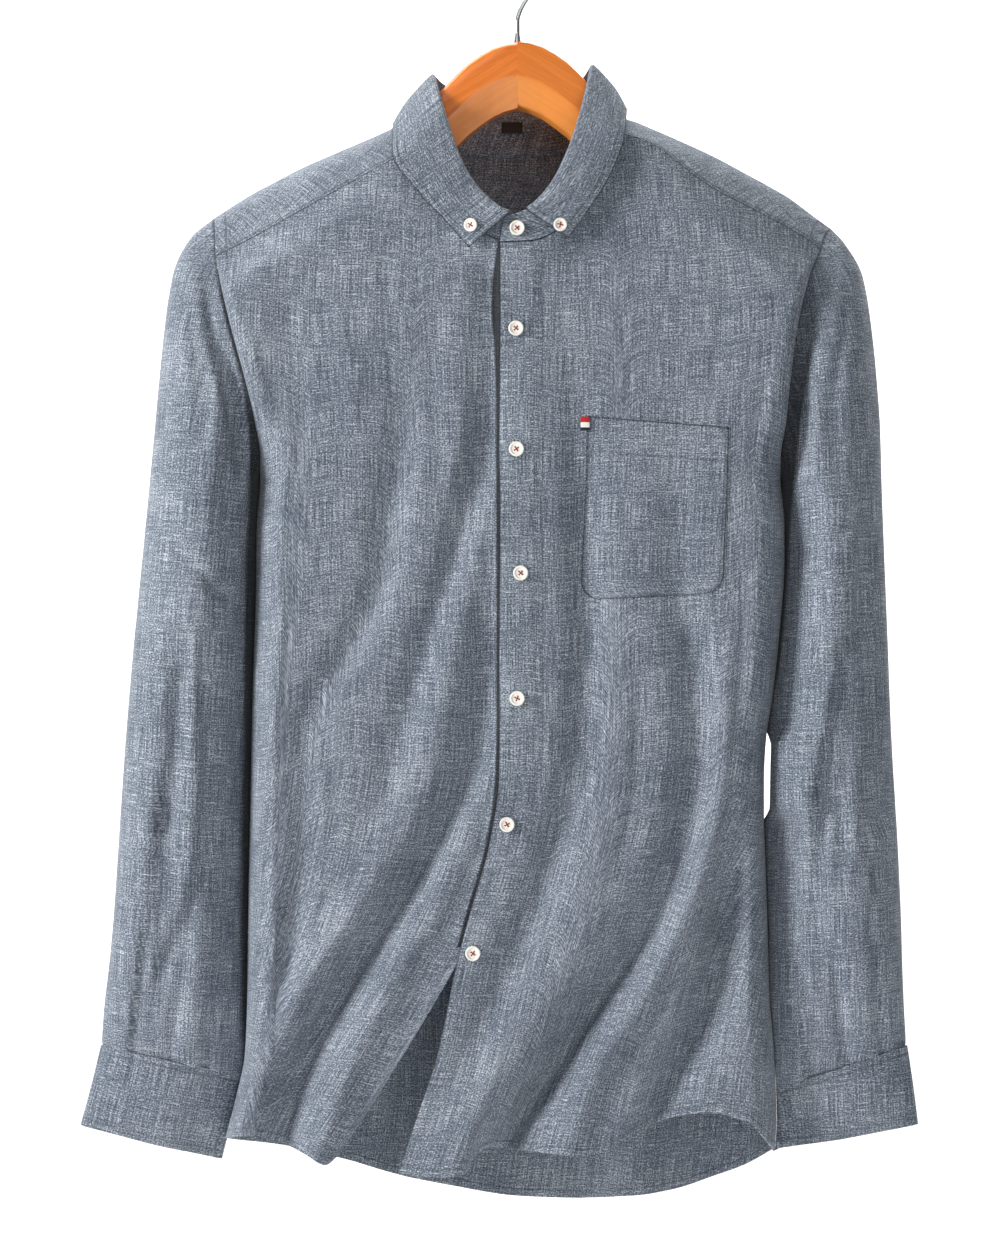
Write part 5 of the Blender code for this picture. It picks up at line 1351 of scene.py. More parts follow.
def run(points, out, edge, target):
    """The line on a panel at the target distance from an edge, and the outward normals along it."""
    away = edge_distance(points, edge)
    if edge in ("first", "last"):  # the line runs down the panel instead of across it
        points, out, away = points.swapaxes(0, 1), out.swapaxes(0, 1), away.T
    found, facing = [], []
    for column in range(points.shape[1]):
        way = away[:, column] - target
        crossing = np.nonzero(way[:-1] * way[1:] <= 0)[0]
        if len(crossing):
            row = crossing[0]
            share = way[row] / (way[row] - way[row + 1] + 1e-9)
            found.append(points[row, column] * (1 - share) + points[row + 1, column] * share)
            facing.append(out[row, column])
    return np.array(found), np.array(facing)


def sew(name, runs):
    """One object of all the stitches along the runs, each a line of points and their normals."""
    verts, faces = [], []
    for line, out in runs:
        line = line + out * LIFT
        way = distances(line)
        for number in range(int(way[-1] // STITCH_STEP)):
            start = (number + 0.2) * STITCH_STEP
            ends = (start, start + STITCH)
            a, b = (np.array([np.interp(at, way, line[:, axis]) for axis in range(3)]) for at in ends)
            facing = unit(np.array([np.interp(start, way, out[:, axis]) for axis in range(3)]))
            side = np.cross(facing, unit(b - a)) * STITCH_WIDE / 2
            middle, lift = (a + b) / 2, facing * STITCH_WIDE / 2
            base = len(verts)
            verts += [a, b, middle + side, middle - side, middle + lift, middle - lift]
            faces += [tuple(base + corner for corner in face) for face in SPINDLE]
    mesh = bpy.data.meshes.new(name)
    mesh.from_pydata([tuple(v * MM) for v in verts], [], faces)
    work = bmesh.new()
    work.from_mesh(mesh)
    bmesh.ops.recalc_face_normals(work, faces=work.faces)
    work.to_mesh(mesh)
    work.free()
    print(name, "has", len(faces) // len(SPINDLE), "stitches")
    return new_object(name, mesh)


# %% Sew the seams, hems and edges
runs = []
for name, edges in ARM_EDGES.items():
    points, out = panels[name], outs[name]
    runs.append(run(points, out, "bottom", HEM_STITCH))
    rows = arm_end(name)
    runs += [run(points[:rows], out[:rows], edge, ARM_STITCH) for edge in edges]
for edges, target in ((("top", "bottom"), SEAM_STITCH), (("first", "last"), ARM_STITCH)):
    runs += [run(yoke, outs["yoke"], edge, target) for edge in edges]
stitches = [sew("body_stitches", runs)]
placket_out, pocket_out = (outward(grid, MIDDLES["left_front"]) for grid in (placket, pocket))
stitches.append(sew("placket_stitches", [run(placket, placket_out, "last", PLACKET_STITCH)]))
runs = [run(pocket, pocket_out, edge, POCKET_STITCH) for edge in ("first", "last", "bottom")]
stitches.append(sew("pocket_stitches", [*runs, run(pocket, pocket_out, "top", POCKET_HEM)]))
leaf_out = outward(leaf, collar_middle)
runs = [run(leaf, leaf_out, edge, EDGE_STITCH) for edge in ("bottom", "first", "last")]
stitches.append(sew("collar_stitches", runs))
runs = []
for cuff in cuffs.values():
    out = outward(cuff, cuff.mean(axis=1, keepdims=True), closed=True)
    cuff, out = (np.concatenate([part, part[:, :1]], axis=1) for part in (cuff, out))
    runs += [run(cuff, out, edge, EDGE_STITCH) for edge in ("top", "bottom")]
stitches.append(sew("cuff_stitches", runs))

# %% [markdown]
# ## Buttons
#
# A shirt button is turned from plastic that looks like shell: a raised rim, a dished middle and four
# holes, sewn on with a cross of red thread. One of each size is modelled from a cylinder, and each
# button is a copy that is set on its place.

# %% Small helpers for working by hand
def only(*items):
    """Select these and nothing else."""
    bpy.ops.object.select_all(action="DESELECT")
    for item in items:
        item.select_set(True)
    bpy.context.view_layer.objects.active = items[0]


def apply_modifier(item, kind, **settings):
    """Add a modifier to the item and apply it."""
    only(item)
    made = item.modifiers.new(kind.lower(), kind)
    for key, value in settings.items():
        setattr(made, key, value)
    bpy.ops.object.modifier_apply(modifier=made.name)


def pick_faces(item, test):
    """In edit mode, select the faces whose middle and normal pass the test."""
    bpy.ops.mesh.select_all(action="DESELECT")
    work = bmesh.from_edit_mesh(item.data)
    for face in work.faces:
        face.select = test(face.calc_center_median(), face.normal)
    work.select_flush(True)
    bmesh.update_edit_mesh(item.data)


# %% Turn a button
HOLE, HOLE_STEP = 0.65, 1.15  # the holes' radius, and how far each is from the middle in x and y
RIM, SLOPE, DISH = 1.4, 0.6, 0.7  # the rim's width, its slope's, and how deep the middle is
EDGE_ROUND = 0.45
THREAD = 0.4  # the radius of a bow of thread
BOW_RISE, BOW_APART, BOW_BEND = 0.3, 0.18, 0.55  # over the middle, from each other, and down at its ends
SHANK = (1.5, 1.6, -0.7)  # radius, height and middle of the thread under a button


def turn_button(radius, thick):
    """A button that lies on the XY plane and faces +Z."""
    bpy.ops.mesh.primitive_cylinder_add(
        vertices=40, radius=radius * MM, depth=thick * MM, location=(0, 0, thick * MM / 2)
    )
    button = bpy.context.object
    bpy.ops.object.transform_apply(location=True)
    bpy.ops.object.mode_set(mode="EDIT")
    pick_faces(button, lambda middle, normal: normal.z > 0.9)
    bpy.ops.mesh.inset(thickness=RIM * MM)
    bpy.ops.mesh.inset(thickness=SLOPE * MM)
    bpy.ops.transform.translate(value=(0, 0, -DISH * MM))
    bpy.ops.object.mode_set(mode="OBJECT")
    apply_modifier(button, "BEVEL", width=EDGE_ROUND * MM, segments=3, limit_method="ANGLE", angle_limit=0.6)
    for x in (-HOLE_STEP, HOLE_STEP):
        for y in (-HOLE_STEP, HOLE_STEP):
            bpy.ops.mesh.primitive_cylinder_add(
                vertices=14, radius=HOLE * MM, depth=3 * thick * MM, location=(x * MM, y * MM, 0)
            )
            drill = bpy.context.object
            apply_modifier(button, "BOOLEAN", object=drill, operation="DIFFERENCE", solver="EXACT")
            bpy.data.objects.remove(drill)
    only(button)
    bpy.ops.object.shade_smooth_by_angle(angle=math.radians(38))
    return button


def turn_cross(thick):
    """Two bows of thread that cross over the four holes, and the shank under them."""
    reach = HOLE_STEP * math.sqrt(2)
    bows = []
    for way in (1, -1):
        bpy.ops.mesh.primitive_cylinder_add(
            vertices=8, radius=THREAD * MM, depth=(2 * reach + 0.7) * MM, end_fill_type="NGON",
            location=(0, 0, (thick - DISH + BOW_RISE + BOW_APART * way) * MM),
            rotation=(math.pi / 2, 0, way * math.pi / 4),
        )
        bow = bpy.context.object
        bpy.ops.object.transform_apply(location=True, rotation=True)
        bpy.ops.object.mode_set(mode="EDIT")
        for side in (-1, 1):
            across = Vector((math.sin(math.pi / 4), -way * math.cos(math.pi / 4), 0)) * side
            for share in (0.45, 0.75):
                bpy.ops.mesh.select_all(action="SELECT")
                bpy.ops.mesh.bisect(plane_co=across * reach * share * MM, plane_no=across)
        bpy.ops.object.mode_set(mode="OBJECT")
        for vertex in bow.data.vertices:
            off = math.hypot(vertex.co.x, vertex.co.y) / (reach * MM)
            vertex.co.z -= BOW_BEND * MM * off**3
        bows.append(bow)
    radius, height, middle = (size * MM for size in SHANK)
    bpy.ops.mesh.primitive_cylinder_add(vertices=10, radius=radius, depth=height, location=(0, 0, middle))
    shank = bpy.context.object
    bpy.ops.object.transform_apply(location=True)
    only(bows[0], bows[1], shank)
    bpy.ops.object.join()
    bpy.ops.object.shade_smooth_by_angle(angle=math.radians(50))
    return bows[0]


BIG, SMALL = (5.5, 2.4), (4.9, 2.2)
patterns = {size: (turn_button(*size), turn_cross(size[1])) for size in (BIG, SMALL)}
print("faces in a button:", len(patterns[BIG][0].data.polygons))

# %% Sew the buttons on
FRONT_BUTTONS = [f"button_{number}" for number in range(1, 7)] + ["button_stand"]
SMALL_BUTTONS = ["button_point_right", "button_point_left", "button_cuff_right", "button_cuff_left"]
TURNS = (7, -11, 4, 22, -16, 9, -3, 12, 30, 5, -8)  # degrees: no two are sewn on alike
buttons, crosses = {}, {}


def button_place(name):
    """The middle of a button's back and the way it faces: a disc is thinnest along its axis."""
    points = np.array([vertex.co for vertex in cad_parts[name].data.vertices])
    middle = (points.min(axis=0) + points.max(axis=0)) / 2
    facing = np.linalg.svd(points - points.mean(axis=0), full_matrices=False)[2][2]
    behind = 1 if name.startswith("button_cuff") else -1
    facing *= behind * np.sign(facing[1])
    return middle + facing * ((points - middle) @ facing).min(), facing


for number, name in enumerate(FRONT_BUTTONS + SMALL_BUTTONS):
    spot, facing = button_place(name)
    stand_on = Matrix.Translation(spot) @ Vector(facing).to_track_quat("Z", "Y").to_matrix().to_4x4()
    stand_on = stand_on @ Matrix.Rotation(math.radians(TURNS[number]), 4, "Z")
    pair = patterns[BIG if name in FRONT_BUTTONS else SMALL]
    for pattern, kept, word in zip(pair, (buttons, crosses), ("turned", "thread")):
        copy = pattern.copy()
        copy.data = pattern.data.copy()
        copy.name = f"{name}_{word}"
        copy.data.transform(stand_on)
        bpy.context.scene.collection.objects.link(copy)
        kept[name] = copy
for pair in patterns.values():
    for pattern in pair:
        bpy.data.objects.remove(pattern)
print("buttons sewn on:", len(buttons))

# %% [markdown]
# ## The hanger
#
# Each half of the hanger is routed from hardwood to a rounded section, and the two are glued at the
# middle so that both arms slope along their grain. A half starts as its section at the joint, and
# is extruded along the arm, resized at each station. A Subdivision Surface rounds it, with the
# joint's rim creased so that it stays sharp.

# %% Shape the two halves
HANGER_CLEAR = 8.4  # between the hanger's top and the cloth over it
HANGER_THICK = 24.0
# The hanger's visible top and bottom, as seen.
HANGER_TOP = (
    # x, drop
    (0, 67.5), (12, 69), (25, 75), (38, 84), (50, 96.5), (60, 107.5), (68, 118.5), (77, 131), (93, 142),
)
HANGER_STATIONS = (9, 18, 27, 36, 46, 56, 66, 77, 93, 122, 150, 178, 194, 202, 206)
JOINT = 0.0  # the halves meet at the middle
SLIM = 0.62  # how thick the arms are inside the shoulders, as a share of the middle
SLIM_FROM, SLIM_OVER = 56.0, 30.0  # from the middle
TIP_FROM, TIP, TIP_ROUND = 178.0, 206.0, 0.9  # the arm's end is rounded by this share
ROUND_TOP, ROUND_BOTTOM = 9.5, 2.0  # bevels along the section's corners
ROUND_FRONT = 1.6
HANGER_HEIGHT = (
    # from the middle, the arm's height there
    (0, 48.5), (12, 50.5), (30, 53), (46, 54), (60, 50), (90, 38), (120, 31), (180, 24), (206, 20),
)
CHAMFER = (0.54, 0.42)  # how far down the front's face ends, and the bottom's width, as shares
NEAR_END = 0.4  # vertices further than this share of the height from the middle are at the top or bottom


def arm_top(side, x):
    """Drop of the hanger's top at x: the table in the neck, and just under the cloth beyond it."""
    crest = sorted((abs(row[0]), row[2]) for row in CREST[side])
    under = [(at, drop + WALL + HANGER_CLEAR) for at, drop in crest if at > HANGER_TOP[-1][0] + 8]
    return float(smooth([*HANGER_TOP, *under], x))


def station(side, x):
    """Centre and height of the arm's section at x, in metres."""
    top, height = arm_top(side, x), float(smooth(HANGER_HEIGHT, x))
    centre = place(np.array([side * x, 0.0, top + height / 2]))
    return Vector(centre) * MM, height * MM


def pick_vertices(item, test):
    """In edit mode, select the vertices whose place passes the test."""
    bpy.ops.mesh.select_all(action="DESELECT")
    work = bmesh.from_edit_mesh(item.data)
    for vertex in work.verts:
        vertex.select = test(vertex.co)
    bmesh.update_edit_mesh(item.data)


def shape_half(name, side):
    """One half of the hanger: its section at the joint, extruded from station to station."""
    centre, height = station(side, JOINT)
    bpy.ops.mesh.primitive_plane_add(size=1, location=centre, rotation=(0, side * math.pi / 2, 0))
    half = bpy.context.object
    half.name = name
    half.scale = (height, HANGER_THICK * MM, 1)
    bpy.ops.object.transform_apply(location=True, rotation=True, scale=True)
    bpy.ops.object.mode_set(mode="EDIT")
    bpy.ops.mesh.select_mode(type="VERT")
    bpy.ops.mesh.select_all(action="DESELECT")
    work = bmesh.from_edit_mesh(half.data)
    for edge in work.edges:
        edge.select = abs(edge.verts[0].co.z - edge.verts[1].co.z) > height / 2
    bmesh.update_edit_mesh(half.data)
    bpy.ops.mesh.subdivide(number_cuts=1)
    bpy.ops.transform.translate(value=(0, 0, height * (0.5 - CHAMFER[0])))
    bpy.ops.mesh.bevel(offset=ROUND_FRONT * MM, segments=2, affect="VERTICES")
    pick_vertices(half, lambda spot: spot.z < centre.z - height * NEAR_END)
    bpy.ops.transform.resize(value=(1, CHAMFER[1], 1), center_override=centre)
    pick_vertices(half, lambda spot: spot.z > centre.z + height * NEAR_END)
    bpy.ops.mesh.bevel(offset=ROUND_TOP * MM, segments=3, affect="VERTICES")
    pick_vertices(half, lambda spot: spot.z < centre.z - height * NEAR_END)
    bpy.ops.mesh.bevel(offset=ROUND_BOTTOM * MM, segments=3, affect="VERTICES")
    bpy.ops.mesh.select_all(action="SELECT")
    bpy.ops.transform.edge_crease(value=1)
    last_wide = 1.0
    for x in HANGER_STATIONS:
        last, last_height = centre, height
        centre, height = station(side, x)
        end = max(0.0, (x - TIP_FROM) / (TIP - TIP_FROM))
        round_off = math.sqrt(1 - (TIP_ROUND * end) ** 2)
        height *= round_off
        wide = round_off * (1 - (1 - SLIM) * ease((x - SLIM_FROM) / SLIM_OVER))
        bpy.ops.mesh.extrude_region_move(TRANSFORM_OT_translate={"value": centre - last})
        bpy.ops.transform.resize(value=(1, wide / last_wide, height / last_height), center_override=centre)
        last_wide = wide
    bpy.ops.mesh.select_all(action="SELECT")
    bpy.ops.mesh.normals_make_consistent(inside=False)
    bpy.ops.mesh.select_mode(type="FACE")
    bpy.ops.object.mode_set(mode="OBJECT")
    apply_modifier(half, "SUBSURF", levels=2, render_levels=2)
    only(half)
    bpy.ops.object.shade_smooth_by_angle(angle=math.radians(40))
    print(name, "has", len(half.data.polygons), "faces")
    return half


hanger_right = shape_half("hanger_right_wood", RIGHT)
hanger_left = shape_half("hanger_left_wood", LEFT)

# %% [markdown]
# ## The hook
#
# The hook is one steel wire, screwed into the joint and bent round the rod. It is drawn as a path
# with the wire's thickness, a little flared where it enters the wood, and then made a mesh.

# %% Bend the wire
HOOK_WIRE = 1.8  # radius
HOOK_SHANK = ((0, 8), (0, 16), (1.6, 22), (6.4, 31), (12, 37))  # x and rise over the hanger's top
HOOK_RADIUS = 19.3  # of the wire's middle, round the rod's middle
HOOK_TURN = range(-30, 201, 15)  # degrees round the rod
HOOK_POINTS = 90
FOOT_FLARE, FOOT_RISE = 0.5, 5.0  # how much thicker the wire's foot is, and how far up
HOOK_TIP = (1, 0.97, 0.86, 0.55)  # how thick its last points are, so that its end is blunt


def bend_hook():
    base = float(place(np.array([0.0, 0.0, HANGER_TOP[0][1]]))[2])
    centre_z = -(HOOK_RADIUS - HOOK_WIRE)
    path = [(0, base - 1), (0, base + 1.5)] + [(x, base + rise) for x, rise in HOOK_SHANK]
    for degrees in HOOK_TURN:
        angle = math.radians(degrees)
        path.append((HOOK_RADIUS * math.cos(angle), centre_z + HOOK_RADIUS * math.sin(angle)))
    line = along(np.array([(x, 0, z) for x, z in path], float), np.linspace(0, 1, HOOK_POINTS))
    curve = bpy.data.curves.new("hook_wire", "CURVE")
    curve.dimensions = "3D"
    curve.bevel_depth = HOOK_WIRE * MM
    curve.bevel_resolution = 5
    curve.use_fill_caps = True
    spline = curve.splines.new("POLY")
    spline.points.add(len(line) - 1)
    for number, (point, spot) in enumerate(zip(spline.points, line)):
        point.co = (*(spot * MM), 1)
        flare = FOOT_FLARE * max(0.0, 1 - (spot[2] - base) / FOOT_RISE) if number < HOOK_POINTS / 3 else 0
        from_end = HOOK_POINTS - number
        blunt = HOOK_TIP[-from_end] if from_end <= len(HOOK_TIP) else 1
        point.radius = (1 + flare) * blunt
    only(new_object("hook_wire", curve))
    bpy.ops.object.convert(target="MESH")
    wire = bpy.context.object
    bpy.ops.object.shade_smooth_by_angle(angle=math.radians(40))
    return wire


hook = bend_hook()
print("the hook has", len(hook.data.polygons), "faces")

# %% [markdown]
# ## Label and pocket tape
#
# A plain woven tab is sewn inside the stand, and a folded tape of three stripes sits in the pocket's
# side seam. Both are blocks of cloth with soft edges, cut fine enough to bow a little.

# %% Make the two tabs
def soft_tab(name, thick, bow):
    """A soft block as large as the CAD tab of that name."""
    low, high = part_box(name)
    centre, size = (low + high) / 2, high - low
    bpy.ops.mesh.primitive_cube_add(size=1, location=(centre.x, low.y + thick * MM / 2, centre.z))
    tab = bpy.context.object
    tab.name = f"{name}_woven"
    tab.scale = (size.x, thick * MM, size.z)
    bpy.ops.object.transform_apply(location=True, scale=True)
    bpy.ops.object.mode_set(mode="EDIT")
    bpy.ops.mesh.select_all(action="SELECT")
    bpy.ops.mesh.subdivide(number_cuts=7)
    bpy.ops.object.mode_set(mode="OBJECT")
    apply_modifier(tab, "BEVEL", width=0.2 * MM, segments=2, limit_method="ANGLE")
    for vertex in tab.data.vertices:
        share = (vertex.co.x - low.x) / size.x
        vertex.co.y -= bow * MM * math.sin(math.pi * share)
    only(tab)
    bpy.ops.object.shade_smooth_by_angle(angle=math.radians(40))
    return tab


label = soft_tab("neck_label", 0.7, 0.15)
tape = soft_tab("pocket_tab", 0.9, 0.25)
print("label and tape:", len(label.data.polygons) + len(tape.data.polygons), "faces")

# %% [markdown]
# ## Materials
#
# One function turns sRGB hex to linear, and one adds a node with its settings and links. Each
# finish below starts from what the real one is.

# %% Helpers for materials
def colour(code):
    """sRGB hex to the linear values that a node wants."""
    parts = [int(code[start : start + 2], 16) / 255 for start in (1, 3, 5)]
    return (*[p / 12.92 if p <= 0.04045 else ((p + 0.055) / 1.055) ** 2.4 for p in parts], 1.0)


def add_node(tree, kind, inputs=None, stops=(), **settings):
    """Add a node. inputs maps its sockets to other nodes' outputs or to plain values, and stops are
    shares and hex codes, for a node that has a colour ramp."""
    made = tree.nodes.new(kind)
    for key, value in settings.items():
        setattr(made, key, value)
    for key, value in (inputs or {}).items():
        if isinstance(value, bpy.types.NodeSocket):
            tree.links.new(value, made.inputs[key])
        else:
            made.inputs[key].default_value = value
    for _ in stops[2:]:
        made.color_ramp.elements.new(0.5)
    for number, (share, code) in enumerate(stops):
        element = made.color_ramp.elements[number]
        element.position, element.color = share, colour(code)
    return made


def new_finish(name, roughness, metallic=0.0, **sockets):
    """A material, its node tree and its shader, with the numbers that are the same all over it."""
    material = bpy.data.materials.new(name)
    material.use_nodes = True
    shader = material.node_tree.nodes["Principled BSDF"]
    shader.inputs["Roughness"].default_value = roughness
    shader.inputs["Metallic"].default_value = metallic
    for key, value in sockets.items():
        shader.inputs[key.replace("_", " ")].default_value = value
    return material, material.node_tree, shader


def blend_noise(tree, parts):
    """Add up noises round 0.5, each with its own weight."""
    total = 0.5 - sum(weight for _, weight in parts) / 2
    for noise, weight in parts:
        inputs = {0: noise, 1: weight, 2: total}
        total = add_node(tree, "ShaderNodeMath", inputs, operation="MULTIPLY_ADD").outputs[0]
    return total


# %% [markdown]
# ### Yarn-dyed linen
#
# Chambray linen has a blue-grey warp and a paler weft, so every thread shows. Flax spins unevenly,
# and its thick places, the slubs, are pale dashes along the weft and dark and pale streaks down the
# warp. A thread is about 0.5 mm wide, and is drawn at 0.9 mm so that it shows in the render.

# %% Weave the linen
# Millimetres across and down of one patch of each noise, its detail and its seed.
WEFT_THREAD = (24.0, 0.9, 2.0, 1.0)
WARP_THREAD = (0.9, 34.0, 2.0, 5.0)
SLUB = (9.0, 1.3, 1.0, 29.0)
HEATHER = (1.3, 1.0, 1.0, 9.0)
DYE_PATCH = (80.0, 45.0, 2.0, 13.0)
PUCKER = (5.0, 5.0, 2.0, 17.0)
RUMPLE = (48.0, 62.0, 3.0, 21.0)
GROOVE, PUCKERED = 1.3, 7.0  # how far a row of stitches sinks the cloth, and puckers it


def noise_on_cloth(tree, uv, across, down, detail, seed):
    """Noise whose patches have a size in millimetres on the cloth."""
    scale = (1000 / across, 1000 / down, 1.0)
    inputs = {"Vector": uv, "Scale": scale, "Location": (seed, seed, seed)}
    moved = add_node(tree, "ShaderNodeMapping", inputs)
    inputs = {"Vector": moved.outputs[0], "Scale": 1.0, "Detail": detail}
    return add_node(tree, "ShaderNodeTexNoise", inputs).outputs[0]


def weave_linen():
    material, tree, shader = new_finish(
        "yarn-dyed linen", 0.85, Specular_IOR_Level=0.3, Sheen_Weight=0.1, Sheen_Roughness=0.5
    )
    uv = add_node(tree, "ShaderNodeUVMap", uv_map="UVMap").outputs[0]
    weft = noise_on_cloth(tree, uv, *WEFT_THREAD)
    warp = noise_on_cloth(tree, uv, *WARP_THREAD)
    heather = noise_on_cloth(tree, uv, *HEATHER)
    dye = noise_on_cloth(tree, uv, *DYE_PATCH)
    slubs = {"Value": noise_on_cloth(tree, uv, *SLUB), "From Min": 0.6, "From Max": 0.8}
    slub = add_node(tree, "ShaderNodeMapRange", slubs).outputs[0]
    tone = blend_noise(tree, ((weft, 0.55), (warp, 0.7), (heather, 1.15), (dye, 0.24)))
    tone = add_node(tree, "ShaderNodeMath", {0: slub, 1: 0.3, 2: tone}, operation="MULTIPLY_ADD").outputs[0]
    dyes = ((0.12, "#28303c"), (0.5, "#67717e"), (0.88, "#c4cad1"))
    threads = add_node(tree, "ShaderNodeValToRGB", {"Fac": tone}, stops=dyes).outputs[0]

    # Each row of stitches pulls the cloth down, with painted shade in its groove, and the cloth beside it
    # puckers.
    marks = add_node(tree, "ShaderNodeAttribute", attribute_name="stitches_and_painted_shade").outputs["Vector"]
    each = add_node(tree, "ShaderNodeSeparateXYZ", {0: marks}).outputs
    rows = {
        axis: add_node(tree, "ShaderNodeMath", {0: each[axis]}, operation="ABSOLUTE").outputs[0]
        for axis in (0, 1)
    }
    near = add_node(tree, "ShaderNodeMath", rows, operation="MINIMUM").outputs[0]
    groove, band, painted_groove_shade, painted_edge_shade = (
        add_node(
            tree, "ShaderNodeMapRange",
            {"Value": away, "From Max": reach * MM, "To Min": most, "To Max": 0.0},
        ).outputs[0]
        for away, reach, most in (
            (near, GROOVE, 1.0), (near, PUCKERED, 1.0), (near, GROOVE, 0.3), (each[2], SHADE_REACH, 0.9),
        )
    )
    shade = add_node(tree, "ShaderNodeMath", {0: painted_groove_shade, 1: painted_edge_shade}, operation="MAXIMUM").outputs[0]
    # Painted shade: grooves, seams, edges, the gap under the placket and the crevices are mixed near-black.
    inputs = {"Factor": shade, "A": threads, "B": colour("#0a0c10")}
    shaded = add_node(tree, "ShaderNodeMix", inputs, data_type="RGBA").outputs["Result"]
    tree.links.new(shaded, shader.inputs["Base Color"])

    rumple = noise_on_cloth(tree, uv, *RUMPLE)
    puckers = {0: band, 1: noise_on_cloth(tree, uv, *PUCKER)}
    pucker = add_node(tree, "ShaderNodeMath", puckers, operation="MULTIPLY").outputs[0]
    flat = add_node(tree, "ShaderNodeMath", {0: 1.0, 1: groove}, operation="SUBTRACT").outputs[0]
    yarn = blend_noise(tree, ((weft, 0.5), (warp, 0.5), (heather, 0.6)))
    below = {}
    reliefs = ((rumple, 4.0, 0.5), (pucker, 1.4, 0.6), (flat, 0.6, 0.7), (yarn, 0.5, 0.5))
    for height, depth, strength in reliefs:
        inputs = {"Height": height, "Distance": depth * MM, "Strength": strength, **below}
        below = {"Normal": add_node(tree, "ShaderNodeBump", inputs).outputs[0]}
    tree.links.new(below["Normal"], shader.inputs["Normal"])
    return material


linen = weave_linen()
print("linen has", len(linen.node_tree.nodes), "nodes")

# %% [markdown]
# ### Varnished hardwood
#
# The hanger is a pale hardwood stained orange, under a clear gloss varnish that leaves the grain to
# see: long darker lines along each arm and short fine pores. The two halves are cut from different
# boards, and one took the stain darker. Faces that look down are painted paler: partly for their
# thinner varnish, partly as painted light bounced up from below.

# %% Varnish the wood
GRAIN = (90.0, 6.0, 3.5)  # millimetres along, through and across one line of grain
PORE = (9.0, 0.8, 0.7)


def noise_in_solid(tree, size, detail, seed, distortion=0.0, turn=0.0):
    """Noise whose patches have a size in millimetres in the object's own space."""
    spot = add_node(tree, "ShaderNodeTexCoord").outputs["Object"]
    tilted = add_node(tree, "ShaderNodeMapping", {"Vector": spot, "Rotation": (0.0, turn, 0.0)}).outputs[0]
    scale = tuple(1000 / mm for mm in size)
    inputs = {"Vector": tilted, "Scale": scale, "Location": (seed, 0.0, seed)}
    moved = add_node(tree, "ShaderNodeMapping", inputs)
    sockets = {"Vector": moved.outputs[0], "Scale": 1.0, "Detail": detail, "Distortion": distortion}
    return add_node(tree, "ShaderNodeTexNoise", sockets).outputs[0]


def varnish_wood(name, dark, base, light, seed, turn):
    material, tree, shader = new_finish(name, 0.35, Coat_Weight=0.3, Coat_Roughness=0.15)
    grain = noise_in_solid(tree, GRAIN, 4.0, seed, 0.8, turn)
    pores = noise_in_solid(tree, PORE, 2.0, seed, 0.0, turn)
    tone = blend_noise(tree, ((grain, 0.8), (pores, 0.25)))
    stops = ((0.2, dark), (0.5, base), (0.8, light))
    stained = add_node(tree, "ShaderNodeValToRGB", {"Fac": tone}, stops=stops).outputs[0]
    # Painted light on the underside: faces that look down are mixed paler, for bounced light and less
    # varnish.
    facing = add_node(tree, "ShaderNodeNewGeometry").outputs["Normal"]
    downward = add_node(tree, "ShaderNodeSeparateXYZ", {0: facing}).outputs["Z"]
    inputs = {"Value": downward, "From Min": -0.12, "From Max": -0.3, "To Max": 0.55}
    underside_light_and_varnish = add_node(tree, "ShaderNodeMapRange", inputs).outputs[0]
    inputs = {"Factor": underside_light_and_varnish, "A": stained, "B": colour("#f5a04e")}
    stained_with_underside_light = add_node(tree, "ShaderNodeMix", inputs, data_type="RGBA").outputs["Result"]
    tree.links.new(stained_with_underside_light, shader.inputs["Base Color"])
    relief = {"Height": pores, "Distance": 0.0002, "Strength": 0.2}
    tree.links.new(add_node(tree, "ShaderNodeBump", relief).outputs[0], shader.inputs["Normal"])
    return material


wood_right = varnish_wood("varnished hardwood, dark board", "#c7631a", "#e27824", "#ec8a35", 3.0, 0.55)
wood_left = varnish_wood("varnished hardwood, light board", "#c96818", "#df7a26", "#ea8c38", 11.0, -0.55)
print("two boards are varnished")

# %% [markdown]
# ### Steel, plastic, thread, label and tape

# %% Finish the small things
def mottled(name, base, low, patch, relief, roughness, metallic=0.0, **sockets):
    """A finish of one colour that varies a little, with a relief of the same pattern."""
    material, tree, shader = new_finish(name, roughness, metallic, **sockets)
    noise = noise_in_solid(tree, patch, 3.0, 0.0)
    shades = add_node(tree, "ShaderNodeValToRGB", {"Fac": noise}, stops=((0.3, low), (0.7, base)))
    tree.links.new(shades.outputs[0], shader.inputs["Base Color"])
    bump = add_node(tree, "ShaderNodeBump", {"Height": noise, "Distance": relief * MM, "Strength": 0.4})
    tree.links.new(bump.outputs[0], shader.inputs["Normal"])
    return material


def striped_tape():
    """Twill tape with a red, a white and a navy bar, one above the other."""
    material, tree, shader = new_finish("woven striped tape", 0.8)
    low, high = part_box("pocket_tab")
    spot = add_node(tree, "ShaderNodeTexCoord").outputs["Object"]
    height = add_node(tree, "ShaderNodeSeparateXYZ", {0: spot}).outputs["Z"]
    share = add_node(tree, "ShaderNodeMapRange", {"Value": height, "From Min": high.z, "From Max": low.z})
    stops = ((0.0, "#b4161d"), (0.41, "#ece8e2"), (0.78, "#13182b"))
    bars = add_node(tree, "ShaderNodeValToRGB", {"Fac": share.outputs[0]}, stops=stops)
    bars.color_ramp.interpolation = "CONSTANT"
    tree.links.new(bars.outputs[0], shader.inputs["Base Color"])
    weave = noise_in_solid(tree, (0.8, 0.8, 0.5), 1.0, 0.0)
    bump = add_node(tree, "ShaderNodeBump", {"Height": weave, "Distance": 0.0002, "Strength": 0.5})
    tree.links.new(bump.outputs[0], shader.inputs["Normal"])
    return material


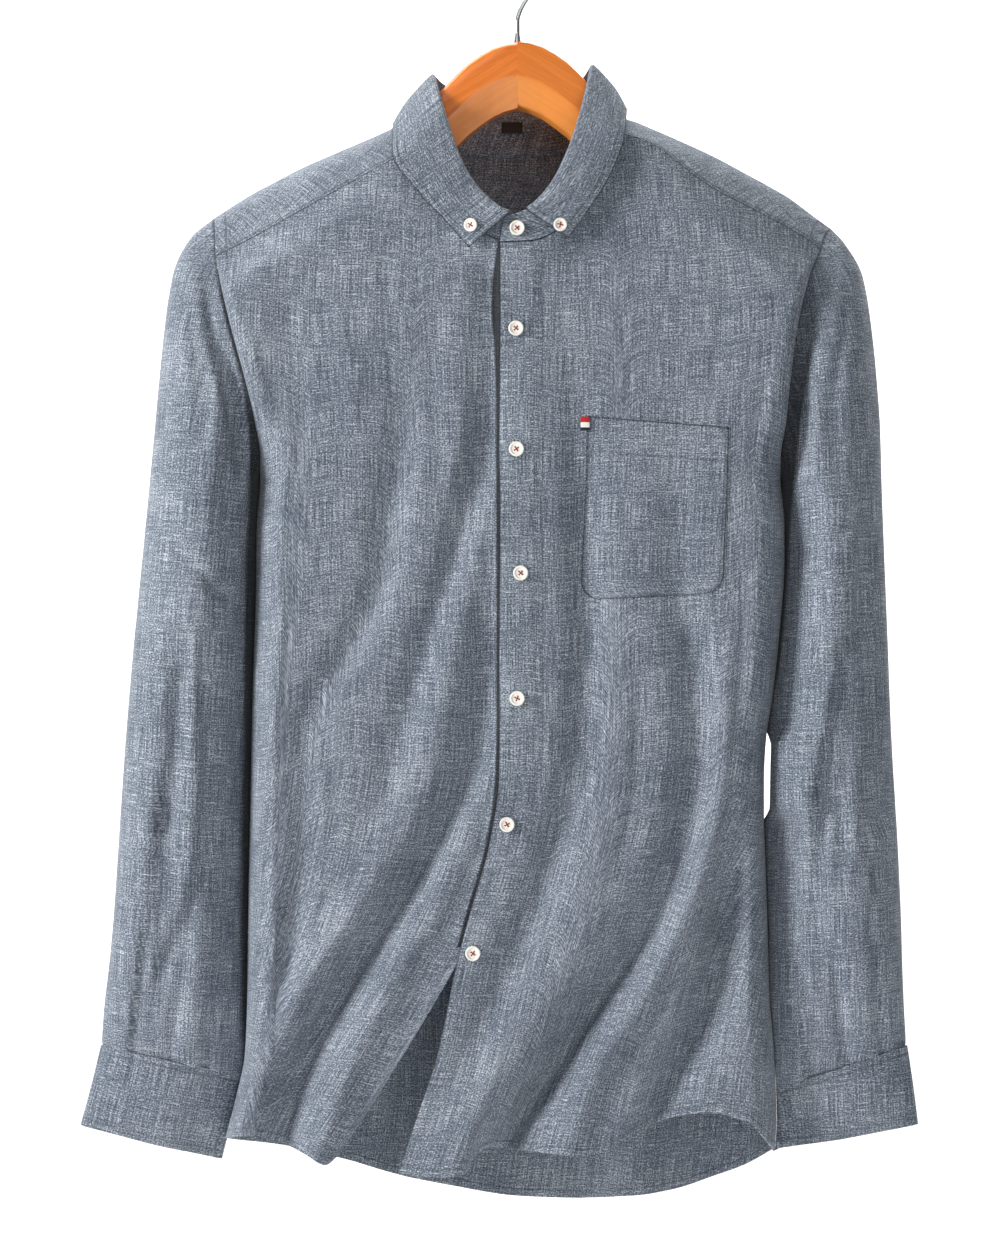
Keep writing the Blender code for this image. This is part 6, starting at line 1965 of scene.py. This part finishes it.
# Drawn wire keeps fine lines along it; shirt buttons are polyester with a pearly swirl; sewing
# thread is spun polyester; a woven label is dense satin.
steel = mottled("bright drawn steel wire", "#d4d6d9", "#b9bcc0", (2.0, 2.0, 12.0), 0.02, 0.2, metallic=1.0)
pearl = mottled("pearly polyester button", "#f6f2ea", "#e9e3d8", (4.0, 4.0, 2.0), 0.02, 0.25, Coat_Weight=0.3)
red_thread = mottled("red sewing thread", "#b81820", "#7c0f14", (0.4, 0.4, 0.4), 0.05, 0.7)
grey_thread = mottled("blue-grey sewing thread", "#94a0ad", "#5f6b79", (0.6, 0.6, 0.6), 0.05, 0.7)
satin = mottled("black woven label", "#131318", "#08080a", (0.6, 0.6, 0.4), 0.1, 0.65)
tape_bars = striped_tape()
print("the small finishes are ready")

# %% [markdown]
# ## What each piece stands for
#
# Every piece gets its finish, rides on the frame's one body, and replaces the node it stands for,
# which is hidden.


def dress(item, material, slot, *nodes):
    """Give a piece its finish, hang it on the frame's body, and hide the nodes it stands for."""
    item.data.materials.clear()
    item.data.materials.append(material)
    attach(item, "root")
    if nodes:
        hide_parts(*nodes)


for name, item in cloths.items():
    dress(item, linen, "linen", name)
for item in stitches:
    dress(item, grey_thread, "linen")
for name, item in buttons.items():
    dress(item, pearl, "button", name)
for item in crosses.values():
    dress(item, red_thread, "button")
dress(hanger_right, wood_right, "wood", "hanger_right")
dress(hanger_left, wood_left, "wood", "hanger_left")
dress(hook, steel, "steel", "hook")
dress(label, satin, "label", "neck_label")
dress(tape, tape_bars, "tape", "pocket_tab")

# %% [markdown]
# ## Studio
#
# The shirt is seen against white, in broad soft light from the left and the front, so each fold has
# one darker side. A pale floor and a backdrop stand well away from it, and a bright sky fills the
# shadows.

# %% Floor, backdrop and lights
bpy.ops.mesh.primitive_plane_add(size=14, location=(0, 0, -2.3))
floor = bpy.context.object
bpy.ops.mesh.primitive_plane_add(size=14, location=(0, 3.4, 0), rotation=(math.pi / 2, 0, 0))
backdrop = bpy.context.object
bpy.ops.object.transform_apply(rotation=True)
paper = mottled("pale matt paper", "#fbfbfb", "#f6f6f6", (300.0, 300.0, 300.0), 0.1, 0.9)
for name, item in (("floor", floor), ("backdrop", backdrop)):
    item.name = name
    item.data.materials.append(paper)

LIGHTS = (
    # name, place, what it shines at, size, watts
    ("key", (-2.6, -1.15, 0.18), (0, 0, -0.48), 0.9, 98),
    ("fill", (0.9, -3.0, -0.3), (0, 0, -0.5), 1.6, 15),
    ("top", (-0.5, -1.3, 0.7), (0, 0, -0.1), 0.7, 2.5),
    ("low", (0.3, -2.2, -1.7), (0, 0, -0.95), 1.0, 10),
    ("ground", (0, 1.2, 1.8), (0, 3.4, -0.6), 3.0, 190),
)
for name, spot, target, size, watts in LIGHTS:
    bpy.ops.object.light_add(type="AREA", location=spot)
    light = bpy.context.object
    light.name = name
    light.data.size = size
    light.data.energy = watts
    light.rotation_euler = (Vector(target) - Vector(spot)).to_track_quat("-Z", "Y").to_euler()
world = bpy.data.worlds.new("studio")
bpy.context.scene.world = world
world.use_nodes = True
sky = world.node_tree.nodes["Background"]
sky.inputs["Color"].default_value = colour("#ffffff")
sky.inputs["Strength"].default_value = 0.16
bpy.context.scene.view_settings.view_transform = "Standard"
